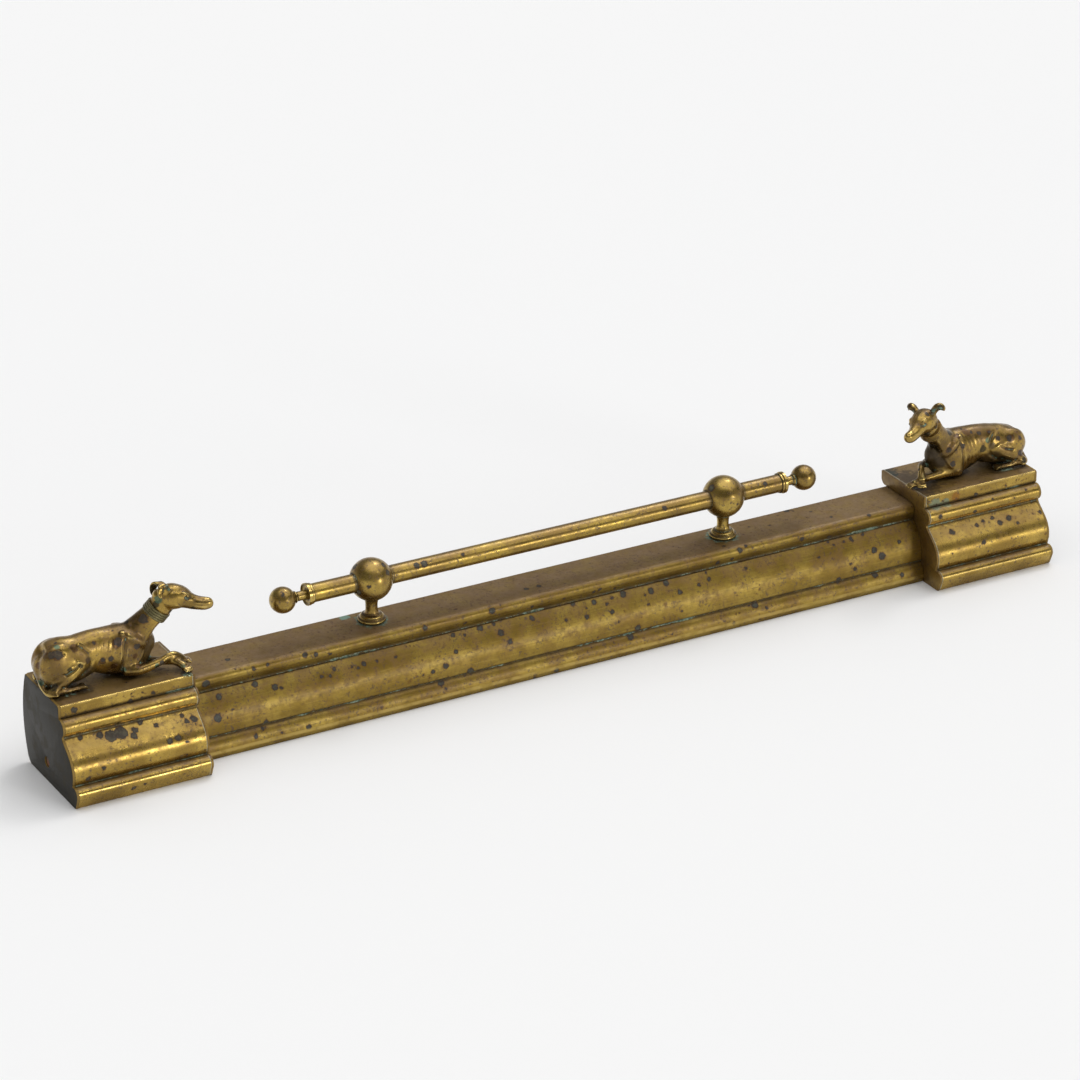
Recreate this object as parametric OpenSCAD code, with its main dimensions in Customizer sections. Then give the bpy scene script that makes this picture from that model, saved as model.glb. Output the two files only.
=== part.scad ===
// Adjustable hearth fender. A moulded sheet-brass bar carries a turned rail, and its two ends
// slide inside wider moulded end blocks. A cast hound lies on each block, facing the middle.
// Frame: the origin is on the floor at the middle of the footprint. X runs along the fender,
// +Y points to the fire, -Y to the room, and Z is up. Moulding outlines are drawn as
// [depth in front of the block's back edge, height above the floor].

/* [Fender] */
// Length over the two end plates with both blocks pushed in
fender_len = 1180; // [1000:10:1400]
// How far each block slides out from its inner stop
slide_travel = 90; // [40:5:90]
// Thickness of the moulded sheet brass
sheet_t = 1.2; // [0.8:0.1:2]
// Gap between the bar and what slides on it
slide_gap = 0.5; // [0.3:0.1:1]

/* [End block moulding] */
// Length of one end block
block_len = 150; // [140:5:200]
// Height of an end block
block_h = 100; // [90:1:125]
// Depth of the block's top slab, back to front
slab_depth = 85.5; // [80:0.5:100]
// Thickness of the slab's front edge
slab_t = 13.5; // [10:0.5:16]
// Height of the slab's folded back edge
slab_lip = 14; // [8:1:14]
// Radius of the round bead under the slab
bead_r = 9.5; // [7:0.5:11]
// How far the belly of the moulding stands out past the slab
belly_out = 29.5; // [24:0.5:34]
// Height of the rounded foot
foot_h = 22.5; // [18:0.5:26]
// How far the foot stands out past the slab
foot_out = 38.1; // [36:0.1:44]
// Radius of the foot's rounded nose
foot_r = 7.5; // [5:0.5:9]
// Width of the strip turned under at the foot
turn_under = 12; // [6:1:14]

/* [Block plates] */
// Thickness of the outer end plate
end_plate_t = 3; // [2:0.5:5]
// How far the end plate bulges behind the slab's back edge
end_bulge = 8.3; // [4:0.1:14]
// Radius of the end plate's lower back corner
end_corner_r = 12; // [6:1:20]
// Radius of the end plate's worn top front corner
end_worn_r = 3; // [1:0.5:6]
// Thickness of the plate that the bar passes through
inner_plate_t = 2.5; // [1.5:0.5:5]
// Radius of the rounded back corner of that plate
inner_corner_r = 8; // [4:1:8]

/* [Bar moulding] */
// How far the bar's top lies under the block's top
bar_drop = 16; // [14:1:24]
// How far the bar's back lies in front of the block's back edge
bar_set_in = 9; // [8:0.5:14]
// Depth of the bar's top, back to nosing
bar_depth = 58; // [50:1:62]
// Radius of the nosing along the bar's top front edge
nosing_r = 7.5; // [5:0.5:9]
// How far the bar's belly stands out past its nosing
bar_belly_out = 17.3; // [12:0.1:20]
// Height of the bar's foot
bar_foot_h = 21.5; // [16:0.5:26]
// How far the bar's foot stands out past its nosing
bar_foot_out = 23.2; // [21:0.1:26]
// Height of the bar's folded back edge
bar_lip = 12; // [8:1:16]

/* [Iron lining of the bar] */
// Thickness of the sheet-iron lining
lining_t = 1.5; // [1:0.1:2.5]
// Number of rivets along the bar's back
rivet_count = 9; // [5:1:15]
// Diameter of a rivet's shank
rivet_d = 3; // [2:0.5:4]
// Distance from a bar end to its first rivet
rivet_end = 40; // [20:5:60]

/* [Slide rods] */
// Diameter of the iron rod that guides each block
rod_d = 10; // [8:0.5:12]
// Depth of the rod's axis in front of the block's back edge
rod_depth = 49; // [40:1:54]
// Height of the rod's axis
rod_z = 21.6; // [18:0.1:26]
// Diameter of the hole in the end plate that shows the rod's end
rod_hole_d = 11.5; // [10.5:0.1:14]
// How deep the rod's end lies in that hole
rod_recess = 1.6; // [0.5:0.1:2]
// Side of the square flange that holds the rod
flange_w = 26; // [20:1:30]
// Thickness of the flange
flange_t = 4; // [3:0.5:6]
// Thickness of the keeper plate in the bar
keeper_t = 4; // [3:0.5:6]
// Distance from a bar end to its keeper
keeper_in = 16; // [12:1:24]
// Width of the nut at the rod's inner end, across its flats
stop_af = 16; // [15:0.5:19]
// Thickness of that nut
stop_t = 8; // [5:0.5:10]

/* [Rail] */
// Distance between the two posts
post_gap = 427.2; // [300:0.2:560]
// Depth of the rail's axis in front of the block's back edge
rail_depth = 32.7; // [28:0.1:40]
// Height of the rail's axis above the bar's top
rail_rise = 47; // [42:0.5:60]
// Outer diameter of the rail tube
tube_d = 20; // [16:0.5:24]
// Wall of the rail tube
tube_wall = 1.5; // [1:0.1:2.5]
// Distance from each post to its end of the rail tube
tube_past_post = 72.4; // [50:0.2:100]
// Diameter of the ball on each post
ball_d = 46; // [40:0.5:50]

/* [Pedestals] */
// Diameter of the pedestal's lowest ring
base_ring_d = 30.4; // [26:0.2:36]
// Height of that ring
base_ring_h = 3.2; // [2:0.1:5]
// Diameter of the disc above the ring
base_disc_d = 29; // [24:0.2:34]
// Thickness of that disc
base_disc_h = 2.8; // [2:0.1:4]
// Diameter of the stem's waist
stem_d = 12.8; // [11:0.2:15]
// Diameter of the stem where it meets the ball
stem_top_d = 16.4; // [14:0.2:19]
// Diameter of the stud through the post
stud_d = 6; // [5:0.5:8]

/* [Rail ends] */
// Diameter of the ball at each rail end
finial_d = 26; // [20:0.5:32]
// Distance from the tube's end to that ball's centre
finial_reach = 32; // [30:0.5:38]
// Diameter of the finial's neck
neck_d = 10.4; // [8:0.2:13]
// Diameter of the cup behind the neck
cup_d = 24; // [22:0.5:27]
// Length of the cup's straight rim
cup_rim = 4.5; // [3:0.5:6]
// Length of the cup's rounded shoulder
cup_round = 6; // [4:0.5:7]
// Diameter of the ferrule on the tube's end
ferrule_d = 22.6; // [22:0.1:24]
// Length of the ferrule
ferrule_len = 3.5; // [2:0.5:6]
// Length of the finial's spigot inside the tube
spigot_len = 12; // [8:1:18]

/* [Hounds] */
// Length of a hound from rump to nose
hound_len = 171; // [155:1:178]
// Angle by which the left hound's head turns to the room
left_head_turn = 25; // [0:1:35]
// Angle by which the right hound's head turns to the room
right_head_turn = 27; // [0:1:35]
// Height of the left hound's rump
left_rump_h = 53; // [40:1:56]
// Height of the right hound's rump
right_rump_h = 44; // [40:1:56]
// Diameter of the screws that hold a hound
screw_d = 5; // [4:0.5:6]
// Width of the reeded collar
collar_w = 10.4; // [8:0.2:12]
// Diameter over the collar
collar_d = 27.4; // [26:0.2:30]
// Number of raised reeds on the collar
collar_reeds = 4; // [2:1:5]

/* [Hidden] */
LEFT = -1;
RIGHT = 1;

BRASS = "#a8873a";
BRASS_DULL = "#8d7136";
BRASS_DARK = "#5d5236";
IRON = "#4a4742";

curve_steps = 10;
round_fn = 96;
small_fn = 48;

// Fits
hole_gap = 0.2;
thread_gap = 0.05;
end_gap = 0.5;
saddle_gap = 0.4;
plate_gap = 0.3;

// Placing of the block and the bar
block_x = -fender_len / 2;
foot_front = slab_depth + foot_out;
back_y = (foot_front - end_bulge) / 2;
bar_h = block_h - bar_drop;
bar_back = bar_set_in;
bar_nose = bar_back + bar_depth;
bar_half = fender_len / 2 - end_plate_t - end_gap;
lining_back = bar_back + sheet_t;
lining_floor = sheet_t + lining_t;

// Placing of the rail and its posts
rail_z = bar_h + rail_rise;
ball_flat = sqrt(pow(ball_d / 2, 2) - pow(stem_top_d / 2, 2));
pedestal_h = rail_rise - ball_flat;
washer_t = 1;
post_nut_t = 5;
post_nut_af = 10;
post_washer_d = 16;
tube_len = post_gap + 2 * tube_past_post;
tube_half = tube_len / 2;

// Placing of the slide rod, measured from the block's outer face
keeper_x = end_plate_t + end_gap + keeper_in;
stop_x = keeper_x + keeper_t + slide_travel + end_gap;
rod_end_x = stop_x + stop_t + 2;
saddle_w = 22;
saddle_len = 44;
saddle_t = 2;
saddle_x = block_len - inner_plate_t - 8 - saddle_w;

// Hound: all its points are written for a hound 171 long and grow with its length
hound_k = hound_len / 171;
hound_mid = 43;
screw_spots = [24, 82];
screw_bite = 18;
hound_nut_t = 3.5;
hound_nut_af = 8;
hound_washer_d = 10;
HEAD_AT = [120, 52, 0];
HEAD_Z = 79;
HEAD_ROLL = 13;
HEAD_NOD = 2;
EAR_UP = [[15, 10, 86, 3, 4], [14.8, 13.2, 90.5, 2.6, 4.8], [14.2, 17.2, 94, 2.2, 5.2], [12.8, 21, 95, 1.9, 5],
    [11, 23.2, 91.5, 1.6, 4], [10, 23.6, 87.8, 1.1, 2.2]];
EAR_DOWN = [[15, 10, 86, 3, 4], [14.6, 12.8, 90.5, 2.6, 5], [13.2, 16, 93.8, 2.2, 5.4], [11.5, 19.4, 93.2, 1.9, 5],
    [10.2, 21.5, 87.8, 1.6, 4], [9.4, 21.8, 81.5, 1.1, 2.2]];
EAR_BACK = [[13.5, 9, 85, 3, 4], [10.5, 11.5, 89, 2.6, 5], [6, 14, 89.5, 2.2, 5.6], [2.6, 16.6, 86.3, 1.9, 5.4],
    [1.2, 18, 80.5, 1.6, 4.6], [1.4, 18, 76, 1.1, 2.6]];
COLLAR_AT = [4.5, 0, 64];
COLLAR_TILT = 50.5;
// Each foreleg's upper arm, its forearm down to the paw, and its toes' root, height and heading
NEAR_ARM = [[105, 50, 44, 3, 5], [102, 53.5, 40, 6, 9.5], [98.5, 55.8, 31, 7, 10.5], [94, 57, 20, 6.6, 9],
    [89, 58.5, 10, 5.6, 7]];
FAR_ARM = [[105, 39, 43, 3, 5], [102, 35.5, 39.5, 6, 9.5], [98.5, 32.5, 30.5, 7, 10.5], [92.5, 29, 19, 6.6, 9],
    [88, 26, 9.5, 5.6, 7]];
NEAR_FLAT = [[[86, 58, 8.5, 5.6, 6.8], [97, 57.5, 8.6, 4.9, 5.6], [113, 57, 8.4, 4.3, 4.8], [127, 57, 7.8, 3.9, 4.1],
    [137, 57, 6.8, 4.1, 4], [145, 57, 4.6, 5, 3.6]], [146, 57, 0], 0];
NEAR_OVER = [[[86, 59.5, 7.6, 5.6, 6.8], [94, 62.5, 7.2, 5.3, 6.2], [103, 64.5, 7.9, 4.9, 5.5], [120, 64, 11, 4.3, 4.7],
    [129, 63, 13.8, 4.1, 4.3], [136, 62, 14.6, 4.3, 4.2], [142, 61.5, 12.6, 4.4, 3.7], [148, 62, 7.8, 4.9, 3.3]],
    [149, 62.5, 2], 8];
FAR_OVER = [[[87, 24, 9, 5.6, 6.6], [99, 28, 11.5, 4.9, 5.6], [113, 34.5, 14.8, 4.4, 4.8],
    [124, 41.5, 16.6, 4.2, 4.4], [130, 48, 17, 4.4, 4.4], [134, 54.5, 14, 4.2, 4], [137, 60, 8.8, 4.8, 3.8]],
    [137.5, 61, 0.5], 62];
FAR_UNDER = [[[87, 24, 7.5, 5.6, 6.6], [99, 33, 7, 5, 5.6], [113, 44.5, 7, 4.4, 5], [125, 55, 7.4, 4.1, 4.6],
    [134, 62, 8, 4.2, 4.3], [139.5, 67.5, 7.6, 4.4, 4], [143.5, 73, 5.4, 4.9, 3.8]], [144, 74.5, 0], 68];

// ---------- Outlines ----------

function arc(c, r, a0, a1, n = curve_steps) =
    [for (i = [0:n]) c + r * [cos(a0 + (a1 - a0) * i / n), sin(a0 + (a1 - a0) * i / n)]];

function bezier(p0, p1, p2, p3, n = curve_steps) =
    [for (i = [0:n]) let (t = i / n, s = 1 - t)
        s * s * s * p0 + 3 * s * s * t * p1 + 3 * s * t * t * p2 + t * t * t * p3];

function right_of(a, b) = [b[1] - a[1], a[0] - b[0]] / norm(b - a);

// A path moved to its right by t, with mitred corners
function beside(path, t) =
    let (last = len(path) - 1)
    [for (i = [0:last])
        let (before = right_of(path[max(i - 1, 0)], path[max(i, 1)]),
            after = right_of(path[min(i, last - 1)], path[min(i + 1, last)]))
        path[i] + t * (before + after) / (1 + before * after)];

function backwards(path) = [for (i = [len(path) - 1:-1:0]) path[i]];

// Front of the end block: slab edge, bead, belly and foot, from the top down
function block_front() =
    let (bead_c = [slab_depth + 1, block_h - slab_t - bead_r - 0.5],
        belly_top = bead_c + [4.5, -bead_r - 0.5],
        belly_low = [slab_depth + foot_out - 10.6, foot_h + 1],
        foot_c = [foot_front - foot_r, foot_h - foot_r])
    concat(
        [[slab_depth, block_h], [slab_depth, block_h - slab_t], [slab_depth - 1.5, block_h - slab_t]],
        arc(bead_c, bead_r, 105, -60),
        bezier(belly_top, belly_top + [5, -8.5],
            [slab_depth + belly_out + 7, (belly_top[1] + belly_low[1]) / 2 + 4], belly_low),
        [[belly_low[0] - 0.5, foot_h]],
        arc(foot_c, foot_r, 110, -25),
        [[foot_front - 4.5, 2.5], [foot_front - 6, 0]]);

// Front of the bar: nosing, fillet, belly and foot, from the top down
function bar_front() =
    let (nose_c = [bar_nose - nosing_r, bar_h - nosing_r],
        belly_top = [bar_nose - 0.5, nose_c[1] - nosing_r - 3.3],
        belly_low = [bar_nose + bar_belly_out, bar_foot_h + 3],
        foot_c = [bar_nose + bar_foot_out - 10, 4])
    concat(
        arc(nose_c, nosing_r, 90, -30),
        [[bar_nose - 3, nose_c[1] - nosing_r - 1], [bar_nose - 3, belly_top[1]]],
        bezier(belly_top, belly_top + [9.5, -9.7],
            [bar_nose + bar_belly_out + 0.4, (belly_top[1] + belly_low[1]) / 2 - 2], belly_low),
        [[belly_low[0] - 2, bar_foot_h + 1]],
        [for (a = [70:-10:0]) foot_c + [10 * cos(a), (bar_foot_h - 3.5) * sin(a)]],
        [[foot_c[0] + 8.5, 0]]);

// A strip of sheet that follows a path, with the path as its outer face
module sheet_strip(path, t) polygon(concat(path, backwards(beside(path, t))));

// Extrudes an outline along X from x0, with depth forward and height up
module along_x(x0, length) {
    translate([x0 + length, back_y, 0])
        rotate([90, 0, -90])
            linear_extrude(length) children();
}

// Everything of one end is drawn at the left end and mirrored for the right
module at_end(side) {
    if (side == LEFT) children();
    else mirror([1, 0, 0]) children();
}

// Places a piece at a depth and a height, at a distance from the block's outer face
module in_block(x, depth, z) translate([block_x + x, back_y - depth, z]) children();

module rod_along_x(d, length, fn = small_fn) rotate([0, 90, 0]) cylinder(d = d, h = length, $fn = fn);

module hex_nut(af, t, hole) {
    difference() {
        cylinder(d = af / cos(30), h = t, $fn = 6);
        translate([0, 0, -1]) cylinder(d = hole, h = t + 2, $fn = small_fn);
    }
}

module washer(d, hole) {
    difference() {
        cylinder(d = d, h = washer_t, $fn = small_fn);
        translate([0, 0, -1]) cylinder(d = hole, h = washer_t + 2, $fn = small_fn);
    }
}

// ---------- Bar ----------

module at_post() translate([-post_gap / 2, back_y - rail_depth, 0]) children();

rivet_z = bar_h - bar_lip / 2;
rivet_step = 2 * (bar_half - rivet_end) / (rivet_count - 1);

// Repeats a piece at each rivet, its axis pointing to the room
module at_rivets() {
    for (i = [0:rivet_count - 1])
        translate([rivet_end - bar_half + i * rivet_step, back_y - bar_back, rivet_z])
            rotate([90, 0, 0]) children();
}

module rivet_holes() {
    at_rivets() translate([0, 0, -2]) cylinder(d = rivet_d + hole_gap, h = 10, $fn = small_fn);
}

module bar_shell() {
    path = concat([[bar_back, bar_h - bar_lip], [bar_back, bar_h]], bar_front(),
        [[bar_nose + bar_foot_out - turn_under, 0]]);
    color(BRASS)
        difference() {
            along_x(-bar_half, 2 * bar_half) sheet_strip(path, sheet_t);
            for (side = [LEFT, RIGHT])
                at_end(side) at_post() translate([0, 0, bar_h - sheet_t - 1])
                    cylinder(d = stud_d + hole_gap, h = sheet_t + 2, $fn = small_fn);
            rivet_holes();
        }
}

// Iron back of the bar, with a floor that lies on the strip turned under at the foot
module bar_lining() {
    floor_front = bar_nose + bar_foot_out - turn_under / 2;
    color(IRON)
        difference() {
            along_x(-bar_half, 2 * bar_half)
                polygon([[lining_back, 0], [lining_back, bar_h - sheet_t],
                    [lining_back + lining_t, bar_h - sheet_t], [lining_back + lining_t, lining_floor],
                    [floor_front, lining_floor], [floor_front, sheet_t],
                    [lining_back + lining_t, sheet_t], [lining_back + lining_t, 0]]);
            rivet_holes();
        }
}

module bar_rivets() {
    stack = sheet_t + lining_t;
    head = rivet_d * 0.4;
    color(BRASS_DULL)
        at_rivets() rotate_extrude($fn = small_fn)
            polygon([[0, -head], [rivet_d * 0.55, -head * 0.8], [rivet_d * 0.9, 0], [rivet_d / 2, 0],
                [rivet_d / 2, stack], [rivet_d * 0.8, stack], [rivet_d * 0.6, stack + head], [0, stack + head]]);
}

// Plate inside the bar with the hole that its block's rod slides through
module keeper(side) {
    keeper_top = rod_z + stop_af;
    color(IRON)
        at_end(side) difference() {
            along_x(block_x + keeper_x, keeper_t)
                polygon([[lining_back + lining_t, lining_floor], [lining_back + lining_t, keeper_top],
                    [rod_depth + stop_af, keeper_top], [rod_depth + stop_af, lining_floor]]);
            in_block(keeper_x - 1, rod_depth, rod_z) rod_along_x(rod_d + 2 * plate_gap, keeper_t + 2);
        }
}

// ---------- Posts ----------

module pedestal(side) {
    disc_top = base_ring_h + base_disc_h;
    waist = disc_top + (pedestal_h - disc_top) * 0.55;
    foot_ring = arc([base_ring_d / 2 - base_ring_h / 2, base_ring_h / 2], base_ring_h / 2, -90, 90);
    disc_edge = arc([base_disc_d / 2 - base_disc_h / 2, base_ring_h + base_disc_h / 2], base_disc_h / 2, -75, 80);
    flare = bezier([base_disc_d / 2 - 3, disc_top], [stem_d / 2 + 2, disc_top + 1],
        [stem_d / 2 + 0.4, waist - 4], [stem_d / 2, waist]);
    top = bezier([stem_d / 2, waist + 0.5], [stem_d / 2, waist + 3],
        [stem_d / 2 + 0.4, pedestal_h - 2], [stem_top_d / 2, pedestal_h]);
    bore = (stud_d + hole_gap) / 2;
    color(BRASS)
        at_end(side) at_post() translate([0, 0, bar_h])
            rotate_extrude($fn = round_fn)
                polygon(concat([[bore, 0]], foot_ring, disc_edge, flare, top, [[bore, pedestal_h]]));
}

// Ball on a post, bored across for the rail and from below for the stud
module post_ball(side) {
    color(BRASS)
        at_end(side) at_post() translate([0, 0, rail_z])
            difference() {
                sphere(d = ball_d, $fn = round_fn);
                translate([0, 0, -ball_flat - ball_d / 2]) cube([ball_d, ball_d, ball_d], center = true);
                translate([-ball_d, 0, 0]) rod_along_x(tube_d + 2 * thread_gap, 2 * ball_d, round_fn);
                translate([0, 0, -ball_d / 2]) cylinder(d = stud_d + 2 * thread_gap, h = ball_d / 2, $fn = small_fn);
            }
}

stud_top = rail_z - tube_d / 2 - 0.3;
stud_bottom = bar_h - sheet_t - washer_t - post_nut_t - 2;

module post_stud(side) {
    color(IRON)
        at_end(side) at_post() translate([0, 0, stud_bottom])
            cylinder(d = stud_d, h = stud_top - stud_bottom, $fn = small_fn);
}

module post_washer(side) {
    color(IRON)
        at_end(side) at_post() translate([0, 0, bar_h - sheet_t - washer_t])
            washer(post_washer_d, stud_d + hole_gap);
}

module post_nut(side) {
    color(IRON)
        at_end(side) at_post() translate([0, 0, bar_h - sheet_t - washer_t - post_nut_t])
            hex_nut(post_nut_af, post_nut_t, stud_d + 2 * thread_gap);
}

// ---------- Rail ----------

module at_tube_end() translate([-tube_half, back_y - rail_depth, rail_z]) children();

module rail_tube() {
    color(BRASS)
        at_tube_end() difference() {
            rod_along_x(tube_d, tube_len, round_fn);
            translate([-1, 0, 0]) rod_along_x(tube_d - 2 * tube_wall, tube_len + 2, round_fn);
        }
}

module ferrule(side) {
    color(BRASS)
        at_end(side) at_tube_end() rotate([0, 90, 0]) rotate_extrude($fn = round_fn)
            polygon([[tube_d / 2 + thread_gap, 0], [ferrule_d / 2 - 0.4, 0], [ferrule_d / 2, 0.5],
                [ferrule_d / 2, ferrule_len - 0.8], [tube_d / 2 + 0.6, ferrule_len],
                [tube_d / 2 + thread_gap, ferrule_len]]);
}

// Turned finial: spigot in the tube, cup, neck, small ring and ball, drawn outwards from the tube's end
module finial(side) {
    spigot_r = tube_d / 2 - tube_wall - thread_gap;
    cup_top = cup_rim + cup_round;
    neck_start = finial_reach - finial_d / 2 - 1;
    ball_start = asin((neck_d / 2) / (finial_d / 2));
    color(BRASS)
        at_end(side) at_tube_end() rotate([0, -90, 0]) rotate_extrude($fn = round_fn)
            polygon(concat(
                [[0, -spigot_len], [spigot_r - 1, -spigot_len], [spigot_r, 1 - spigot_len], [spigot_r, 0]],
                [[cup_d / 2 - 0.6, 0], [cup_d / 2, 0.6], [cup_d / 2, cup_rim]],
                [for (a = [15:15:60]) [cup_d / 2 - 5 + 5 * cos(a), cup_rim + cup_round * sin(a)]],
                [[neck_d / 2 + 1.5, cup_top], [neck_d / 2 + 0.3, cup_top + 1], [neck_d / 2, cup_top + 2.5]],
                [[neck_d / 2, neck_start], [neck_d / 2 + 0.7, neck_start + 0.3], [neck_d / 2 + 0.7, neck_start + 1.2]],
                [for (a = [180 - ball_start - 4:-8:4])
                    [finial_d / 2 * sin(a), finial_reach + finial_d / 2 * cos(a)]],
                [[0, finial_reach + finial_d / 2]]));
}

// ---------- End blocks ----------

module block_shell(side) {
    path = concat([[0, block_h - slab_lip], [0, block_h]], block_front(), [[foot_front - 6 - turn_under, 0]]);
    color(BRASS)
        at_end(side) difference() {
            along_x(block_x + end_plate_t, block_len - end_plate_t - inner_plate_t) sheet_strip(path, sheet_t);
            at_screws() cylinder(d = screw_d + hole_gap, h = 4 * sheet_t, center = true, $fn = small_fn);
        }
}

// Iron plate that closes the block's outer end, with a bowed back edge
module end_plate(side) {
    sag = end_bulge + 2;
    bow_r = (pow(block_h / 2, 2) + sag * sag) / (2 * sag);
    bow_c = [bow_r - end_bulge, block_h / 2];
    corner_x = bow_c[0] - sqrt(pow(bow_r - end_corner_r, 2) - pow(bow_c[1] - end_corner_r, 2));
    corner_a = 180 + atan((bow_c[1] - end_corner_r) / (bow_c[0] - corner_x));
    top_a = 180 - asin(block_h / 2 / bow_r);
    front = block_front();
    color(BRASS_DARK)
        at_end(side) difference() {
            along_x(block_x, end_plate_t)
                polygon(concat(
                    arc([slab_depth - end_worn_r, block_h - end_worn_r], end_worn_r, 90, 0, 6),
                    [for (i = [1:len(front) - 1]) front[i]],
                    arc([corner_x, end_corner_r], end_corner_r, 270, corner_a, 8),
                    arc(bow_c, bow_r, corner_a - 1, top_a, 16)));
            in_block(-1, rod_depth, rod_z) rod_along_x(rod_hole_d, end_plate_t + 2);
        }
}

// Plate at the block's inner end, cut out to the bar's outline
module inner_plate(side) {
    cut_top = bar_h + slide_gap;
    opening = concat([[-20, bar_h], [bar_back, bar_h]], bar_front(), [[bar_nose + bar_foot_out - 1.5, -9]]);
    color(BRASS_DULL)
        at_end(side) along_x(block_x + block_len - inner_plate_t, inner_plate_t)
            difference() {
                polygon(concat(arc([inner_corner_r, cut_top + inner_corner_r], inner_corner_r, 270, 180, 8),
                    [[0, block_h]], block_front(), [[bar_nose, 0]]));
                polygon(concat(beside(opening, -slide_gap), [[-20, -9]]));
            }
}

// Folded iron strap under the block's top that rides on the bar
module saddle(side) {
    drop = bar_drop - sheet_t - saddle_gap;
    color(IRON)
        at_end(side) in_block(saddle_x, bar_back + saddle_len + 4, block_h - sheet_t - drop)
            rotate([90, 0, 0]) translate([0, 0, -saddle_len])
                linear_extrude(saddle_len)
                    polygon([[0, 0], [saddle_w, 0], [saddle_w, drop], [saddle_w - saddle_t, drop],
                        [saddle_w - saddle_t, saddle_t], [saddle_t, saddle_t], [saddle_t, drop], [0, drop]]);
}

// ---------- Slide rods ----------

module slide_rod(side) {
    color(IRON)
        at_end(side) in_block(rod_recess, rod_depth, rod_z) rod_along_x(rod_d, rod_end_x - rod_recess);
}

// Square flange on the inside of the end plate that the rod screws into
module rod_flange(side) {
    color(IRON)
        at_end(side) difference() {
            in_block(end_plate_t, rod_depth + flange_w / 2, rod_z - flange_w / 2)
                cube([flange_t, flange_w, flange_w]);
            in_block(end_plate_t - 1, rod_depth, rod_z) rod_along_x(rod_d + 2 * thread_gap, flange_t + 2);
        }
}

module stop_nut(side) {
    color(IRON)
        at_end(side) in_block(stop_x, rod_depth, rod_z)
            rotate([0, 90, 0]) hex_nut(stop_af, stop_t, rod_d + 2 * thread_gap);
}

// ---------- Hounds ----------
// A station is [along the block, depth forward, height, half width, half height]. Along is
// measured from the block's outer face and height from its top.

function head_turn(side) = side == LEFT ? left_head_turn : right_head_turn;

function unit(v) = v / norm(v);
function place(s) = [s[0], s[1], s[2]];

// Rounded curve through stations, with k steps between each pair
function through(s, k) =
    let (last = len(s) - 1)
    concat(
        [for (i = [0:last - 1]) for (j = [0:k - 1])
            let (t = j / k, a = s[max(i - 1, 0)], b = s[i], c = s[i + 1], d = s[min(i + 2, last)])
            0.5 * (2 * b + (c - a) * t + (2 * a - 5 * b + 4 * c - d) * t * t
                + (3 * b - a - 3 * c + d) * t * t * t)],
        [s[last]]);

// Ring of points round one station, square to the direction of travel
function ring(s, dir, up, n) =
    let (side = unit(cross(dir, up)), over = cross(side, dir))
    [for (i = [0:n - 1]) place(s) + s[3] * cos(360 * i / n) * side + s[4] * sin(360 * i / n) * over];

// Smooth limb through its stations, with domed ends
module limb(stations, up = [0, 0, 1], n = 12, k = 2) {
    s = through(stations, k);
    last = len(s) - 1;
    dirs = [for (i = [0:last]) unit(place(s[min(i + 1, last)]) - place(s[max(i - 1, 0)]))];
    tail = place(s[0]) - dirs[0] * min(s[0][3], s[0][4]) * 0.5;
    tip = place(s[last]) + dirs[last] * min(s[last][3], s[last][4]) * 0.5;
    rings = [for (i = [0:last]) each ring(s[i], dirs[i], up, n)];
    sides = [for (i = [0:last - 1]) for (j = [0:n - 1])
        let (a = i * n + j, b = i * n + (j + 1) % n)
        each [[a, b, a + n], [b, b + n, a + n]]];
    tail_cap = [for (j = [0:n - 1]) [len(rings), (j + 1) % n, j]];
    tip_cap = [for (j = [0:n - 1]) [len(rings) + 1, last * n + j, last * n + (j + 1) % n]];
    polyhedron(concat(rings, [tail, tip]), concat(sides, tail_cap, tip_cap));
}

module blob(at, radii, turn = [0, 0, 0], n = 14) {
    translate(at) rotate(turn) scale(radii) sphere(r = 1, $fn = n);
}

// Four toes spread across a paw that points along a heading, from its root and its height
module toes(at, heading, length) {
    across = [-sin(heading), cos(heading)];
    ahead = [cos(heading), sin(heading)];
    for (i = [-1.5:1:1.5]) {
        root = [at[0], at[1]] + 2.4 * i * across;
        tip = [at[0], at[1]] + 2.8 * i * across + (length - 0.9 * abs(i)) * ahead;
        translate([0, 0, at[2]]) hull() {
            translate([root[0], root[1], 4]) sphere(r = 2.1, $fn = 6);
            translate([(root[0] + tip[0]) / 2, (root[1] + tip[1]) / 2, 4.2]) sphere(r = 1.9, $fn = 6);
            translate([tip[0], tip[1], 1.5]) sphere(r = 1.5, $fn = 6);
        }
    }
}

// Torso station from its top and its belly
function trunk(x, d, top, belly, half_w) = [x, d, (top + belly) / 2, half_w, (top - belly) / 2];

module torso(rump) {
    limb([trunk(-1, 43, rump * 0.75, 10, 12), trunk(4, 43, rump * 0.9, 2, 18), trunk(19, 44, rump, 0, 20),
        trunk(38, 44, rump * 0.4 + 31, 3, 18.5), trunk(56, 43.5, rump * 0.2 + 43, 8.5, 16),
        trunk(74, 43, 53, 1, 18), trunk(92, 44, 53, -2, 19.5), trunk(106, 45, 52.5, 5.5, 16.5),
        trunk(116, 47, 46, 18, 9)], n = 20);
}

// Neck, from between the shoulders into the skull
module neck(turn) {
    limb([[94, 45, 36, 16, 15], [105, 48, 44, 13.5, 15], [114, 50.5, 54, 11.8, 12.8],
        in_head(turn, 4.5, 64, 11.2, 11.8), in_head(turn, 11, 72, 11.4, 12.2), in_head(turn, 14, 80, 10.5, 10)],
        n = 16);
}

// Station at a distance along the head from the nape
function in_head(turn, along, high, half_w, half_h) =
    [HEAD_AT[0] + along * cos(turn), HEAD_AT[1] + along * sin(turn), high, half_w, half_h];

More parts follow.
